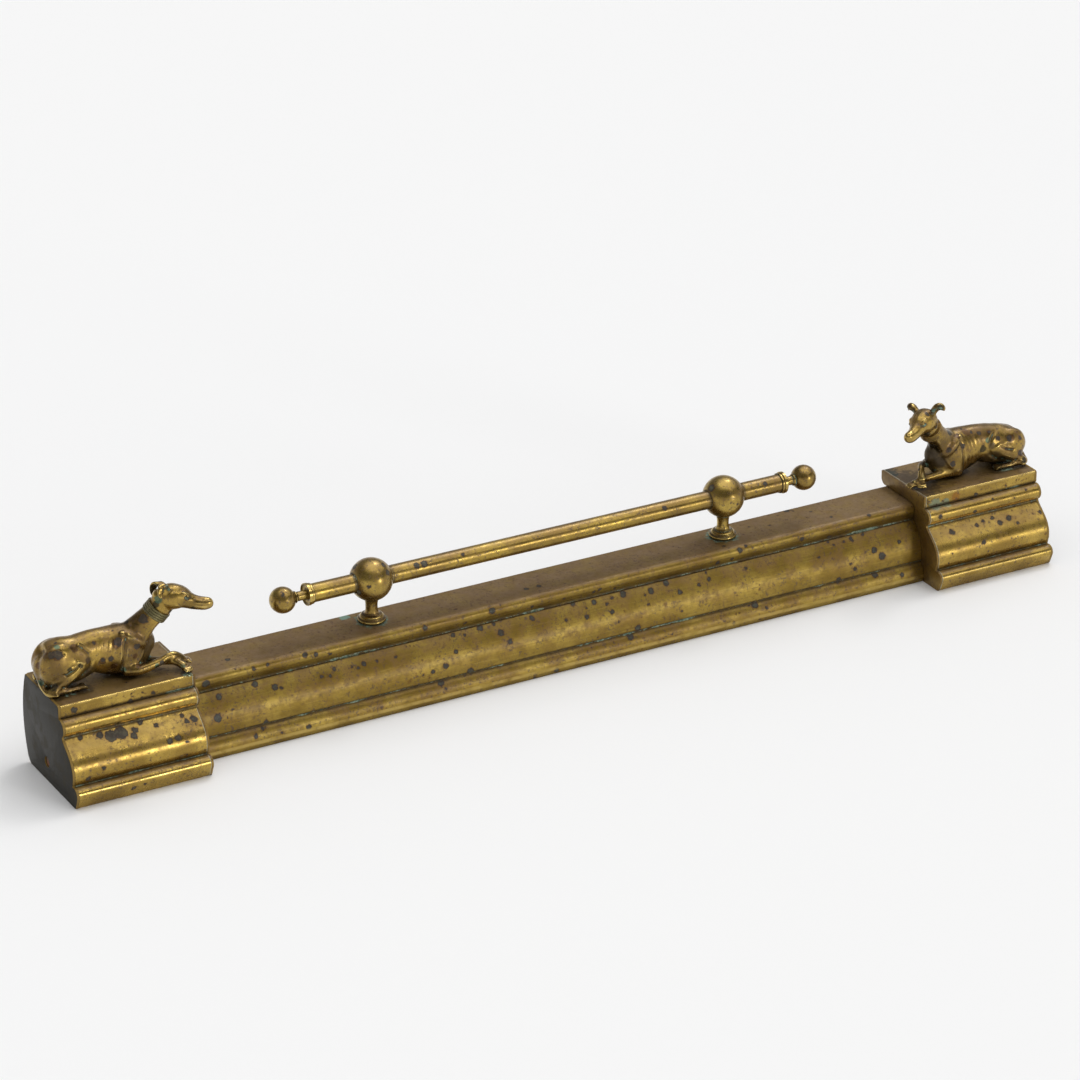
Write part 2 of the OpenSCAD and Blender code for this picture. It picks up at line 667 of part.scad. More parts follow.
// Upper arm, forearm and paw of one foreleg
module foreleg(arm, lower) {
    limb(arm, up = [1, 0, 0], n = 12);
    limb(lower[0], n = 12);
    toes(lower[1], lower[2], 7.5);
}

// Haunch, knee, shank and foot of one hind leg, on the side of the room (1) or of the fire (-1)
module hind_leg(side, haunch_h) {
    function out(d) = hound_mid + side * d;
    blob([18, out(10.5), haunch_h / 2 + 1], [22.5, 12, haunch_h / 2 - 1], [0, -6, 0], 18);
    blob([34, out(14.5), haunch_h / 2 + 4], [11, 7, haunch_h / 4], [0, -30, 0], 12);
    limb([[42, out(14.5), 26, 3.6, 5.5], [31, out(18.5), 20.5, 3.8, 5.5], [17, out(20.5), 12.5, 3.4, 4.8],
        [3, out(20), 6.6, 3.4, 4.8]]);
    limb([[2.6, out(20), 4.8, 3.4, 4.6], [14, out(21), 3.4, 3, 3.6], [27, out(20.5), 3.2, 3.2, 3.2],
        [35.5, out(19), 3.2, 4.6, 3.2]]);
    toes([35.5, out(19), 0], 0, 6.5);
}

// Ear that rises from the skull and folds over at its tip
module ear(side, stations) {
    limb([for (p = stations) [p[0], side * p[1], p[2], p[3], p[4]]], up = [1, 0, 0], n = 10);
}

// Head station from its top and its underside
function skull(along, top, low, half_w) = [along, 0, (top + low) / 2, half_w, (top - low) / 2];

// Head drawn along its own axis, from the nape to the nose
module head(near_ear, far_ear) {
    limb([skull(2, 88, 71, 9), skull(9, 91.5, 65.5, 14), skull(17, 92.5, 64, 15), skull(25, 91.5, 65, 14.2),
        skull(31.5, 88.5, 66, 12), skull(36.5, 84, 65.8, 9.8), skull(42, 80.3, 65.7, 7.8),
        skull(48, 78, 65.3, 6.8), skull(54, 77.8, 65, 6.4), skull(58.2, 77, 66.8, 5.4)], n = 18);
    blob([57.5, 0, 75.2], [3.2, 4.2, 2.8], n = 10);
    for (side = [-1, 1]) {
        blob([33.5, side * 8.4, 82.8], [4.6, 3.6, 1.8], [-side * 30, 22, 0], 10);
        blob([37, side * 8.4, 79.8], [2.4, 1.7, 1.7], n = 8);
    }
    ear(1, near_ear);
    ear(-1, far_ear);
}

// A hound facing along the block, from its head's turn and nod, its ears, its rump's height and its forelegs
module hound_body(turn, nod, near_ear, far_ear, rump, near_leg, far_leg) {
    torso(rump);
    neck(turn);
    translate(HEAD_AT) rotate([0, 0, turn])
        translate([0, 0, HEAD_Z + nod / 3]) rotate([HEAD_ROLL, -nod, 0]) translate([0, 0, -HEAD_Z])
            head(near_ear, far_ear);
    hind_leg(1, rump - 1);
    hind_leg(-1, rump - 4);
    // Tail, curled round the rump to the near hock
    limb([[0, 34, 23, 3.6, 3.6], [-1.5, 42, 15, 3.4, 3.4], [-1.8, 53, 7.5, 3.2, 3.2], [0, 63, 3.6, 3, 3.2],
        [8, 68.5, 2.8, 2.4, 2.8]], up = [1, 0, 0], n = 10);
    foreleg(NEAR_ARM, near_leg);
    foreleg(FAR_ARM, far_leg);
}

// Places a hound's piece on its block; its depth runs forward, so it is mirrored in Y
module on_block() {
    in_block(0, 0, block_h) mirror([0, 1, 0]) scale(hound_k) children();
}

module at_screws() {
    for (x = screw_spots)
        in_block(x * hound_k, hound_mid * hound_k, block_h) children();
}

module hound(side) {
    color(BRASS)
        at_end(side) on_block() difference() {
            if (side == LEFT)
                hound_body(left_head_turn, 0, EAR_DOWN, EAR_BACK, left_rump_h / hound_k, NEAR_OVER, FAR_UNDER);
            else
                hound_body(right_head_turn, HEAD_NOD, EAR_UP, EAR_UP, right_rump_h / hound_k, NEAR_FLAT, FAR_OVER);
            translate([-20, -20, -40]) cube([220, 140, 40]);
        }
}

// Reeded band round the hound's neck
module collar(side) {
    reed = collar_w / collar_reeds;
    profile = [for (i = [0:collar_reeds - 1]) each
        [for (a = [180:-30:0]) [collar_d / 2 - 0.6 + 0.6 * sin(a), reed * (i + 0.5) + reed * 0.46 * cos(a)]]];
    color(BRASS_DARK)
        at_end(side) on_block() translate(HEAD_AT) rotate([0, 0, head_turn(side)])
            translate(COLLAR_AT) rotate([0, 90 - COLLAR_TILT, 0]) scale(1 / hound_k) translate([0, 0, -collar_w / 2])
                rotate_extrude($fn = small_fn)
                    polygon(concat([[11, 0]], profile, [[11, collar_w]]));
}

module hound_screws(side) {
    low = sheet_t + washer_t + hound_nut_t + 1.5;
    color(IRON)
        at_end(side) at_screws() translate([0, 0, -low]) cylinder(d = screw_d, h = low + screw_bite, $fn = small_fn);
}

module hound_washers(side) {
    color(IRON)
        at_end(side) at_screws() translate([0, 0, -sheet_t - washer_t]) washer(hound_washer_d, screw_d + hole_gap);
}

module hound_nuts(side) {
    color(IRON)
        at_end(side) at_screws() translate([0, 0, -sheet_t - washer_t - hound_nut_t])
            hex_nut(hound_nut_af, hound_nut_t, screw_d + 2 * thread_gap);
}

// ---------- Assembly ----------

bar_shell();
bar_lining();
bar_rivets();
keeper(LEFT);  // left_keeper
keeper(RIGHT);  // right_keeper
pedestal(LEFT);  // left_pedestal
pedestal(RIGHT);  // right_pedestal
post_ball(LEFT);  // left_ball
post_ball(RIGHT);  // right_ball
post_stud(LEFT);  // left_post_stud
post_stud(RIGHT);  // right_post_stud
post_washer(LEFT);  // left_post_washer
post_washer(RIGHT);  // right_post_washer
post_nut(LEFT);  // left_post_nut
post_nut(RIGHT);  // right_post_nut
rail_tube();
ferrule(LEFT);  // left_ferrule
ferrule(RIGHT);  // right_ferrule
finial(LEFT);  // left_finial
finial(RIGHT);  // right_finial
block_shell(LEFT);  // left_block_shell
block_shell(RIGHT);  // right_block_shell
end_plate(LEFT);  // left_end_plate
end_plate(RIGHT);  // right_end_plate
inner_plate(LEFT);  // left_inner_plate
inner_plate(RIGHT);  // right_inner_plate
saddle(LEFT);  // left_saddle
saddle(RIGHT);  // right_saddle
slide_rod(LEFT);  // left_rod
slide_rod(RIGHT);  // right_rod
rod_flange(LEFT);  // left_rod_flange
rod_flange(RIGHT);  // right_rod_flange
stop_nut(LEFT);  // left_stop_nut
stop_nut(RIGHT);  // right_stop_nut
hound(LEFT);  // left_hound
hound(RIGHT);  // right_hound
collar(LEFT);  // left_collar
collar(RIGHT);  // right_collar
hound_screws(LEFT);  // left_hound_screws
hound_screws(RIGHT);  // right_hound_screws
hound_washers(LEFT);  // left_hound_washers
hound_washers(RIGHT);  // right_hound_washers
hound_nuts(LEFT);  // left_hound_nuts
hound_nuts(RIGHT);  // right_hound_nuts
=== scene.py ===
# Adjustable brass hearth fender: a moulded sheet-brass bar with a turned rail, two moulded end
# blocks that slide over its ends, and a cast hound on each block. Metres, in the CAD's frame.
import math
from functools import partial
import bpy
import numpy as np
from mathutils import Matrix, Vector
from mathutils.bvhtree import BVHTree


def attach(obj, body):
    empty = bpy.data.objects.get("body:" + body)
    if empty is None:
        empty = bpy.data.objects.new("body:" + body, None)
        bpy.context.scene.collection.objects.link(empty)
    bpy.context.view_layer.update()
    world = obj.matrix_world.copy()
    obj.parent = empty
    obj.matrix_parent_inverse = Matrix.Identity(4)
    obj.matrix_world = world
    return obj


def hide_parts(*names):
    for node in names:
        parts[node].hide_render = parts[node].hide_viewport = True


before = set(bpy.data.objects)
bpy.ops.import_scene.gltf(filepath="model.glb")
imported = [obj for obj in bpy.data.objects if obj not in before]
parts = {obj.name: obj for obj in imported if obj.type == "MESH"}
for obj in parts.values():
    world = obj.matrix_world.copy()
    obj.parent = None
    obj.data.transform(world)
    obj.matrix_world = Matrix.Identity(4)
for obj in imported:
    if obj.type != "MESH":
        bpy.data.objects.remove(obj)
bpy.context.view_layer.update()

# ---------- Studio ----------
# A plain pale floor that runs past the picture, a pale world and four soft lamps: a very broad one
# overhead, a smaller one behind, and two from the camera's right, one low and one high. What metal
# sees of the room is white at the horizon and overhead, and dimmer between, where no lamp hangs.

MM = 0.001
BLEND = {"data_type": "RGBA"}
EASED = {"interpolation_type": "SMOOTHSTEP"}


def linear(colour):
    """An sRGB hex colour as linear RGBA."""
    parts_8bit = [int(colour[i:i + 2], 16) / 255 for i in (1, 3, 5)]
    return [c / 12.92 if c <= 0.04045 else ((c + 0.055) / 1.055) ** 2.4 for c in parts_8bit] + [1.0]


def add(tree, kind, *values, named=None, give=None, **settings):
    """Adds a node with its settings, and its inputs in order or by name, each a value, a hex colour or
    a link. Gives the output that give names, or else the first."""
    made = tree.nodes.new("ShaderNode" + kind)
    for name, value in settings.items():
        setattr(made, name, value)
    fed = list(zip([socket for socket in made.inputs if socket.enabled], values))
    fed += [(made.inputs[name], value) for name, value in (named or {}).items()]
    for socket, value in fed:
        if isinstance(value, bpy.types.NodeSocket):
            tree.links.new(value, socket)
        else:
            socket.default_value = linear(value) if isinstance(value, str) else value
    return made.outputs[give] if give else next((socket for socket in made.outputs if socket.enabled), None)


def blank(name):
    """A new material without nodes, and the function that adds one to it."""
    material = bpy.data.materials.new(name)
    material.use_nodes = True
    material.node_tree.nodes.clear()
    return material, partial(add, material.node_tree)


def lamp(name, towards, strength, spread):
    """A soft lamp far away in the direction (right, back, up) as the camera sees it."""
    right, back = Vector((0.873, -0.487, 0)), Vector((0.487, 0.873, 0))
    data = bpy.data.lights.new(name, "SUN")
    data.energy = strength
    data.angle = math.radians(spread)
    light = bpy.data.objects.new(name, data)
    aim = right * towards[0] + back * towards[1] + Vector((0, 0, towards[2]))
    light.rotation_euler = aim.to_track_quat("Z", "Y").to_euler()
    bpy.context.scene.collection.objects.link(light)


lamp("broad_top_lamp", (0.3, 0.25, 1), 1.3, 75)
lamp("key_lamp", (0.27, 0.5, 0.8), 0.42, 14)
lamp("low_side_lamp", (0.78, -0.6, 0.15), 0.45, 12)
lamp("small_side_lamp", (0.6, -0.3, 0.73), 0.07, 5)

world = bpy.data.worlds.new("pale_studio")
bpy.context.scene.world = world
world.use_nodes = True
world.node_tree.nodes.clear()
node = partial(add, world.node_tree)
by_camera = node("LightPath", give="Is Camera Ray")
rays = by_camera.node.outputs
seen = node("Math", by_camera, rays["Is Glossy Ray"], operation="MAXIMUM")
seen = node("Math", seen, rays["Is Transmission Ray"], operation="MAXIMUM")
height = node("SeparateXYZ", node("TexCoord", give="Generated"), give="Z")
over_horizon = node("MapRange", height, 0.06, 0.36, **EASED)
overhead = node("MapRange", height, 0.8, 0.97, 1.0, 0.0, **EASED)
dim = node("Math", over_horizon, overhead, operation="MULTIPLY")
room = node("Mix", dim, "#f7f7f7", "#747475", **BLEND)
sky = node("MixShader", seen, node("Background", "#f5f5f4", 0.52), node("Background", room, 1.0))
node("OutputWorld", sky)

# Painted studio floor: matt and pale, so that it gives soft shadows and no reflection
floor_paint, node = blank("painted_floor")
tone = node("TexNoise", node("TexCoord", give="Object"), 0.5, 2)
shade = node("Mix", tone, "#f5f5f6", "#f7f7f7", **BLEND)
node("OutputMaterial", node("BsdfPrincipled", named={"Base Color": shade, "Roughness": 1.0,
                                                     "Specular IOR Level": 0.0}))

bpy.ops.object.select_all(action="DESELECT")
bpy.ops.mesh.primitive_plane_add(size=60, location=(0, 0, 0))
floor = bpy.context.object
floor.name = "floor"
floor.data.materials.append(floor_paint)

camera_data = bpy.data.cameras.new("camera")
camera_data.lens = 144.8
camera_data.sensor_width = 36
camera = bpy.data.objects.new("camera", camera_data)
camera.location = (-2.0408, -3.60865, 2.0689)
camera.rotation_euler = (math.pi / 2 - 0.436, 0, -0.509)
bpy.context.scene.collection.objects.link(camera)
bpy.context.scene.camera = camera
bpy.context.scene.view_settings.view_transform = "Standard"

# ---------- Moulded bar ----------
# Sheet brass drawn over a moulding: a flat top with a folded back edge, a round nosing, a belly
# and a foot turned under. Its grooves hold verdigris, and its top has gone a dull brown.

BACK_Y = 57.65
BAR_HALF = 586.5
SHEET = 1.2
PHOTO = 1080


def arc(middle, radius, start, end, steps=12):
    """Points on an arc, by its angles in degrees."""
    angles = np.radians(np.linspace(start, end, steps + 1))
    return [(middle[0] + radius * math.cos(a), middle[1] + radius * math.sin(a)) for a in angles]


def bend(p0, p1, p2, p3, steps=14):
    """Points on a Bezier curve."""
    t = np.linspace(0, 1, steps + 1)[:, None]
    p0, p1, p2, p3 = (np.array(p, float) for p in (p0, p1, p2, p3))
    curve = (1 - t) ** 3 * p0 + 3 * (1 - t) ** 2 * t * p1 + 3 * (1 - t) * t * t * p2 + t ** 3 * p3
    return [tuple(p) for p in curve]


def softened(path, radius):
    """The path with each sharp corner rounded, as a fold in sheet metal is."""
    done = [path[0]]
    for before, corner, after in zip(path, path[1:], path[2:]):
        a, b = Vector(before) - Vector(corner), Vector(after) - Vector(corner)
        turn = math.pi - a.angle(b)
        if turn < math.radians(22):
            done.append(corner)
            continue
        reach = min(radius * math.tan(turn / 2), a.length * 0.45, b.length * 0.45)
        start, end = Vector(corner) + a.normalized() * reach, Vector(corner) + b.normalized() * reach
        for t in (0, 0.25, 0.5, 0.75, 1):
            done.append(tuple(start * (1 - t) ** 2 + Vector(corner) * 2 * t * (1 - t) + end * t * t))
    return done + [path[-1]]


def spaced(path, step):
    """The path with points added so that none lie further apart than step."""
    done = [path[0]]
    for a, b in zip(path, path[1:]):
        length = math.dist(a, b)
        if length < 0.02:
            continue
        count = max(1, math.ceil(length / step))
        done += [(a[0] + (b[0] - a[0]) * i / count, a[1] + (b[1] - a[1]) * i / count)
                 for i in range(1, count + 1)]
    return done


def drawn(name, points):
    """An object whose mesh is one line of edges, extruded point by point."""
    bpy.ops.object.select_all(action="DESELECT")
    bpy.ops.mesh.primitive_plane_add(size=MM, location=points[0])
    line = bpy.context.object
    line.name = name
    line.data.name = name
    bpy.ops.object.mode_set(mode="EDIT")
    bpy.ops.mesh.select_mode(type="VERT")
    bpy.ops.mesh.merge(type="CENTER")
    for a, b in zip(points, points[1:]):
        bpy.ops.mesh.extrude_region_move(TRANSFORM_OT_translate={"value": Vector(b) - Vector(a)})
    bpy.ops.object.mode_set(mode="OBJECT")
    bpy.ops.object.transform_apply()
    return line


def choose(piece):
    """Makes a piece the only one selected, and the active one."""
    bpy.ops.object.select_all(action="DESELECT")
    piece.select_set(True)
    bpy.context.view_layer.objects.active = piece


def work(piece, *steps):
    """Runs mesh operators, each a name with its settings, on the whole of a piece."""
    choose(piece)
    bpy.ops.object.mode_set(mode="EDIT")
    bpy.ops.mesh.select_all(action="SELECT")
    for step, settings in steps:
        getattr(bpy.ops.mesh, step)(**settings)
    bpy.ops.object.mode_set(mode="OBJECT")


MERGED = ("remove_doubles", {"threshold": 0.01 * MM})
FACING_OUT = ("normals_make_consistent", {"inside": False})


def finish_with(piece, kind, **settings):
    """Adds a modifier with its settings and applies it."""
    bpy.context.view_layer.objects.active = piece
    modifier = piece.modifiers.new(kind, kind)
    for name, value in settings.items():
        setattr(modifier, name, value)
    bpy.ops.object.modifier_apply(modifier=modifier.name)


def smooth(piece, degrees=35):
    """Shades a piece smooth, but for edges sharper than some degrees."""
    choose(piece)
    bpy.ops.object.shade_smooth_by_angle(angle=math.radians(degrees))


def corners(piece):
    """The places of a mesh's points in mm."""
    flat = np.zeros(len(piece.data.vertices) * 3)
    piece.data.vertices.foreach_get("co", flat)
    return flat.reshape(-1, 3) / MM


def mark(piece, name, values):
    """Stores a number from 0 to 1 on each point, for the material to read."""
    layer = piece.data.attributes.get(name) or piece.data.attributes.new(name, "FLOAT", "POINT")
    layer.data.foreach_set("value", np.clip(np.asarray(values, np.float32), 0, 1))


def nearness(places, points, reach):
    """1 at the nearest of some places, falling to 0 at reach, for points given in the same axes."""
    gaps = np.full(len(points), 1e9)
    for place in places:
        gaps = np.minimum(gaps, np.linalg.norm(points - np.array(place, float), axis=1))
    return np.clip(1 - gaps / reach, 0, 1)


def folded_sheet(name, outline, x0, x1, step, grooves, ridges):
    """Sheet brass bent to an outline of [depth, height] from its top back down, swept from x0 to x1."""
    path = spaced(softened(outline, 0.9), 2.2)
    sheet = drawn(name, [(x0 * MM, (BACK_Y - d) * MM, h * MM) for d, h in path])
    count = round((x1 - x0) / step)
    length = (x1 - x0) / count * MM
    work(sheet, *[("extrude_region_move", {"TRANSFORM_OT_translate": {"value": (length, 0, 0)}})] * count)
    work(sheet, FACING_OUT)
    highest = max(sheet.data.polygons, key=lambda face: face.center.z)
    if highest.normal.z < 0:
        work(sheet, ("flip_normals", {}))
    where = corners(sheet)
    across = np.stack([BACK_Y - where[:, 1], where[:, 2]], 1)
    # Grooves get verdigris and a dark brown that is partly grime and partly painted shade; ridges get a
    # lighter tone that is partly wear and partly a painted highlight
    mark(sheet, "cranny", nearness(grooves, across, 6))
    mark(sheet, "edge", nearness(ridges, across, 5))
    # Hand-drawn sheet is never quite flat: shallow dents, at most 0.15 mm deep
    dents = bpy.data.textures.new(name + "_dents", "CLOUDS")
    dents.noise_scale = 0.035
    dents.noise_depth = 1
    finish_with(sheet, "DISPLACE", texture=dents, strength=0.15 * MM, mid_level=1.0, texture_coords="GLOBAL")
    finish_with(sheet, "SOLIDIFY", thickness=SHEET * MM, offset=-1, use_even_offset=True)
    smooth(sheet, 50)
    return sheet


def seen_on(pieces, marks):
    """Marks [x, y, ...], read off the photo in its pixels, as [x, y, z, ...] in mm: each where
    the camera sees it on one of the pieces."""
    shapes = [BVHTree.FromPolygons([point.co for point in piece.data.vertices],
                                   [face.vertices for face in piece.data.polygons]) for piece in pieces]
    focal = PHOTO * camera_data.lens / camera_data.sensor_width
    found = []
    for x, y, *rest in marks:
        ray = camera.rotation_euler.to_matrix() @ Vector((x - PHOTO / 2, PHOTO / 2 - y, -focal)).normalized()
        hits = [shape.ray_cast(camera.location, ray) for shape in shapes]
        nearest = min(hits, key=lambda hit: math.inf if hit[3] is None else hit[3])
        found.append((*nearest[0] / MM, *rest))
    return found


def aged_brass(name, shine="#b0943f", dull="#876d33", brown="#665036", green=("#93a58f", "#4f6b5b"),
               heart_tone="#5f5f48", flat_tarnish=0.8, spots=1.0, rough=0.38, dents=1.0, drawn_marks=0.0,
               film=0.6, wax=0.15, speckle=0.25, blots=(), stains_and_shade=()):
    """Old brass: warm metal, brown on its flat tops, flecked with dark spots, and green in its grooves,
    which are darkened as painted shade too; its rubbed edges are lighter, partly as a painted highlight.
    """
    material, node = blank(name)
    place = node("TexCoord", give="Object")
    up = node("SeparateXYZ", place.node.outputs["Normal"], give="Z")
    cranny = node("Attribute", attribute_name="cranny", give="Fac")
    edge = node("Attribute", attribute_name="edge", give="Fac")

    def patches(size_mm, low, high, weak=0.0, full=1.0, detail=3, roughness=0.5):
        """Soft-edged patches of a real size."""
        cloud = node("TexNoise", place, 1 / (size_mm * MM), detail, roughness)
        return node("MapRange", cloud, low, high, weak, full, **EASED)

    def together(*masks):
        """What is left where every mask lets through its share."""
        amount = masks[0]
        for mask in masks[1:]:
            amount = node("Math", amount, mask, operation="MULTIPLY")
        return amount

    def coat(under, tone, *masks):
        """A tone laid over a colour as thickly as its masks together allow."""
        return node("Mix", together(*masks), under, tone, **BLEND)

    # Metal: two golds that drift into each other over 40 mm, and again over 6 mm
    fleck = node("TexNoise", place, 1 / (6 * MM), 5, 0.65)
    colour = coat(shine, dull, patches(40, 0.35, 0.65, detail=4))
    colour = coat(colour, dull, node("MapRange", fleck, 0.45, 0.75, 0, 0.5, **EASED))
    # Long fine marks that the sheet took as it was drawn over the moulding
    along = node("Mapping", place, named={"Scale": (0.04, 1, 1)})
    marks = node("TexNoise", along, 1 / (1.6 * MM), 3, 0.65)
    colour = coat(colour, "#6e5a2c", node("MapRange", marks, 0.46, 0.66, 0, 0.5 * drawn_marks, **EASED))
    colour = coat(colour, "#c3aa62", node("MapRange", marks, 0.30, 0.44, 0.3 * drawn_marks, 0, **EASED))

    # A thin purple-brown film lies on what faces up, and a thick brown tarnish on the flat tops
    grain = node("TexNoise", place, 1 / (3.4 * MM), 6, 0.8)
    filmed = together(node("MapRange", up, -0.2, 0.5, **EASED),
                      patches(18, 0.42, 0.6, detail=6, roughness=0.7),
                      node("MapRange", grain, 0.35, 0.6, 0.55 * film, film, **EASED))
    colour = coat(colour, "#7c5d2f", filmed)
    flat = node("MapRange", up, 0.62, 0.95, **EASED)
    brownness = together(flat, patches(17, 0.30, 0.62, 0.6, 1.0, 5, 0.6), flat_tarnish)
    brown_tone = coat(brown, "#7e6649", patches(9, 0.35, 0.7, detail=5, roughness=0.7))
    colour = coat(colour, brown_tone, brownness)

    # Patches of a given tone with soft, broken borders: real stains, and in the hounds' folds and under
    # them painted shade as well as dirt
    border = node("Math", fleck, 1.1, 0.45, operation="MULTIPLY_ADD")
    for x, y, z, radius, tone in stains_and_shade:
        gap = node("VectorMath", place, (x * MM, y * MM, z * MM), operation="DISTANCE")
        near = node("Math", gap, -1 / (radius * MM), border, operation="MULTIPLY_ADD")
        colour = coat(colour, tone, node("MapRange", near, 0.12, 0.42, 0, 0.85, **EASED))

    # Dark spots of corrosion, in drifts and of three sizes, and the largest where they really lie:
    # how many mm deep inside a spot each place is
    wobble = node("TexNoise", place, 1 / (3.2 * MM), 3, give="Color")
    shift = node("VectorMath", wobble, (0.5, 0.5, 0.5), operation="SUBTRACT")
    shift = node("VectorMath", shift, 4.5 * MM, operation="SCALE")
    ragged = node("VectorMath", place, shift, operation="ADD")
    clean = patches(70, 0.38, 0.60, 20, 0, detail=2)
    deep = -20.0
    for cell, largest, seed, share in ((24, 3.9, 0.0, 0.6), (11, 2.2, 0.31, 0.6), (4.6, 0.95, 0.73, 0.65)):
        moved = node("VectorMath", ragged, (seed, seed * 0.7, -seed), operation="ADD")
        gap = node("TexVoronoi", moved, 1 / (cell * MM), give="Distance")
        pick = node("SeparateColor", gap.node.outputs["Color"], give="Red")
        empty = 1 - share * spots
        passed_over = node("MapRange", pick, empty, empty + 0.02, 20, 0, **EASED)
        radius = node("MapRange", pick.node.outputs["Green"], 0, 1, 0.4 * largest, largest, **EASED)
        inside = node("Math", gap, -cell, radius, operation="MULTIPLY_ADD")
        inside = node("Math", inside, passed_over, operation="SUBTRACT")
        if cell < 20:
            inside = node("Math", inside, clean, operation="SUBTRACT")
        deep = node("Math", deep, inside, operation="MAXIMUM")
    for x, y, z, radius in blots:
        gap = node("VectorMath", ragged, (x * MM, y * MM, z * MM), operation="DISTANCE")
        inside = node("Math", gap, -1 / MM, radius, operation="MULTIPLY_ADD")
        deep = node("Math", deep, inside, operation="MAXIMUM")
    halo, dark, heart = (node("MapRange", deep, low, high, **EASED)
                         for low, high in ((-1.5, 0.1), (-0.3, 0.4), (0.7, 1.7)))
    colour = coat(colour, "#64421f", halo, 0.6)
    colour = coat(colour, "#2c251a", dark, 0.95)
    colour = coat(colour, heart_tone, heart, node("MapRange", fleck, 0.35, 0.62, 0.75, 0.1, **EASED))

    # Pits and scratches too small to be round: dark purple-brown pepper
    pepper = together(node("MapRange", grain, 0.535, 0.61, 0, 0.8, **EASED),
                      patches(26, 0.38, 0.58, speckle, 1, 4))
    colour = coat(colour, "#4a3529", pepper)

    # Rubbed edges stay bright: a lighter tone that is partly wear and partly a painted highlight
    bright = together(node("MapRange", edge, 0.45, 0.95, **EASED), patches(12, 0.3, 0.6, 0.25, 1, 4))
    colour = coat(colour, "#c9ae66", bright, 0.7)

    # Crumbs of old solder show as a pale line along a seam
    seam = node("Attribute", attribute_name="seam", give="Fac")
    crumbs = node("TexNoise", place, 1 / (2.4 * MM), 3, 0.7)
    seam = node("Math", crumbs, 0.4, seam, operation="MULTIPLY_ADD")
    solder = node("MapRange", seam, 1.02, 1.12, 0, 0.85, **EASED)
    colour = coat(colour, "#a9a48c", solder)

    # Dark brown fills the grooves and every other marked cranny, partly grime and partly painted shade,
    # with a thin line of verdigris at the bottom that spreads in places
    grime_and_shade = together(node("MapRange", cranny, 0.4, 0.85, **EASED), patches(8, 0.25, 0.6, 0.6, 1, 4))
    colour = coat(colour, "#3d2c0e", grime_and_shade, 0.85)
    line = node("Math", cranny, patches(45, 0.52, 0.68, 0, 0.22), operation="ADD")
    frayed = node("TexNoise", place, 1 / (2.4 * MM), 4, 0.7)
    line = node("Math", frayed, 0.35, line, operation="MULTIPLY_ADD")
    verdigris = together(node("MapRange", line, 1.075, 1.175, **EASED), patches(9, 0.38, 0.54, 0, 1, 5, 0.65))
    colour = coat(colour, coat(green[0], green[1], patches(3, 0.38, 0.62)), verdigris, 0.9)

    # The browner, spotted and green parts are crust, not bare metal
    crust = together(brownness, 0.8)
    for cover in (dark, verdigris, together(grime_and_shade, 0.5), pepper, solder, together(filmed, 0.7)):
        crust = node("Math", crust, cover, operation="MAXIMUM")
    crust = together(crust, node("Math", 1.0, bright, operation="SUBTRACT"))
    metallic = node("MapRange", crust, 0, 1, 0.97, 0.15, **EASED)
    roughness = node("Math", node("MapRange", crust, 0, 1, rough, 0.68, **EASED),
                     node("MapRange", fleck, 0.3, 0.7, -0.05, 0.07, **EASED), operation="ADD")
    roughness = node("Math", bright, -0.1, roughness, operation="MULTIPLY_ADD")

    # Relief: waves left by beating and casting, a fine skin, sunken spots and raised verdigris
    wave = node("TexNoise", place, 1 / (26 * MM), 2, 0.4)
    ripple = node("TexNoise", place, 1 / (8 * MM), 2)
    relief = 0.0
    for height, depth_mm in ((wave, 0.3 * dents), (ripple, 0.05 * dents), (fleck, 0.03), (grain, 0.012),
                             (marks, 0.05 * drawn_marks), (dark, -0.05), (verdigris, 0.12)):
        relief = node("Math", height, depth_mm, relief, operation="MULTIPLY_ADD")
    bumps = node("Bump", named={"Height": relief, "Distance": MM, "Strength": 1.0})
    skin = node("BsdfPrincipled", named={"Base Color": colour, "Metallic": metallic, "Roughness": roughness,
                                         "Normal": bumps, "Coat Weight": wax, "Coat Roughness": 0.25,
                                         "Coat Normal": bumps})
    node("OutputMaterial", skin)
    return material


def dress(piece, material, body=None, node=None):
    """Gives a piece its material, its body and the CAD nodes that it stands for."""
    piece.data.materials.clear()
    piece.data.materials.append(material)
    if body:
        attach(piece, body)
    if node:
        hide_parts(*([node] if isinstance(node, str) else node))


BAR_FRONT = (arc((59.5, 76.5), 7.5, 90, -30)
             + [(64, 68), (64, 65.7)]
             + bend((66.5, 65.7), (76, 56), (84.7, 43.1), (84.3, 24.5))
             + [(82.3, 22.5)]
             + [(80.2 + 10 * math.cos(math.radians(a)), 4 + 18 * math.sin(math.radians(a)))
                for a in range(70, -1, -7)]
             + [(88.7, 0)])
BAR_OUTLINE = [(9, 72), (9, 84)] + BAR_FRONT + [(78.2, 0)]
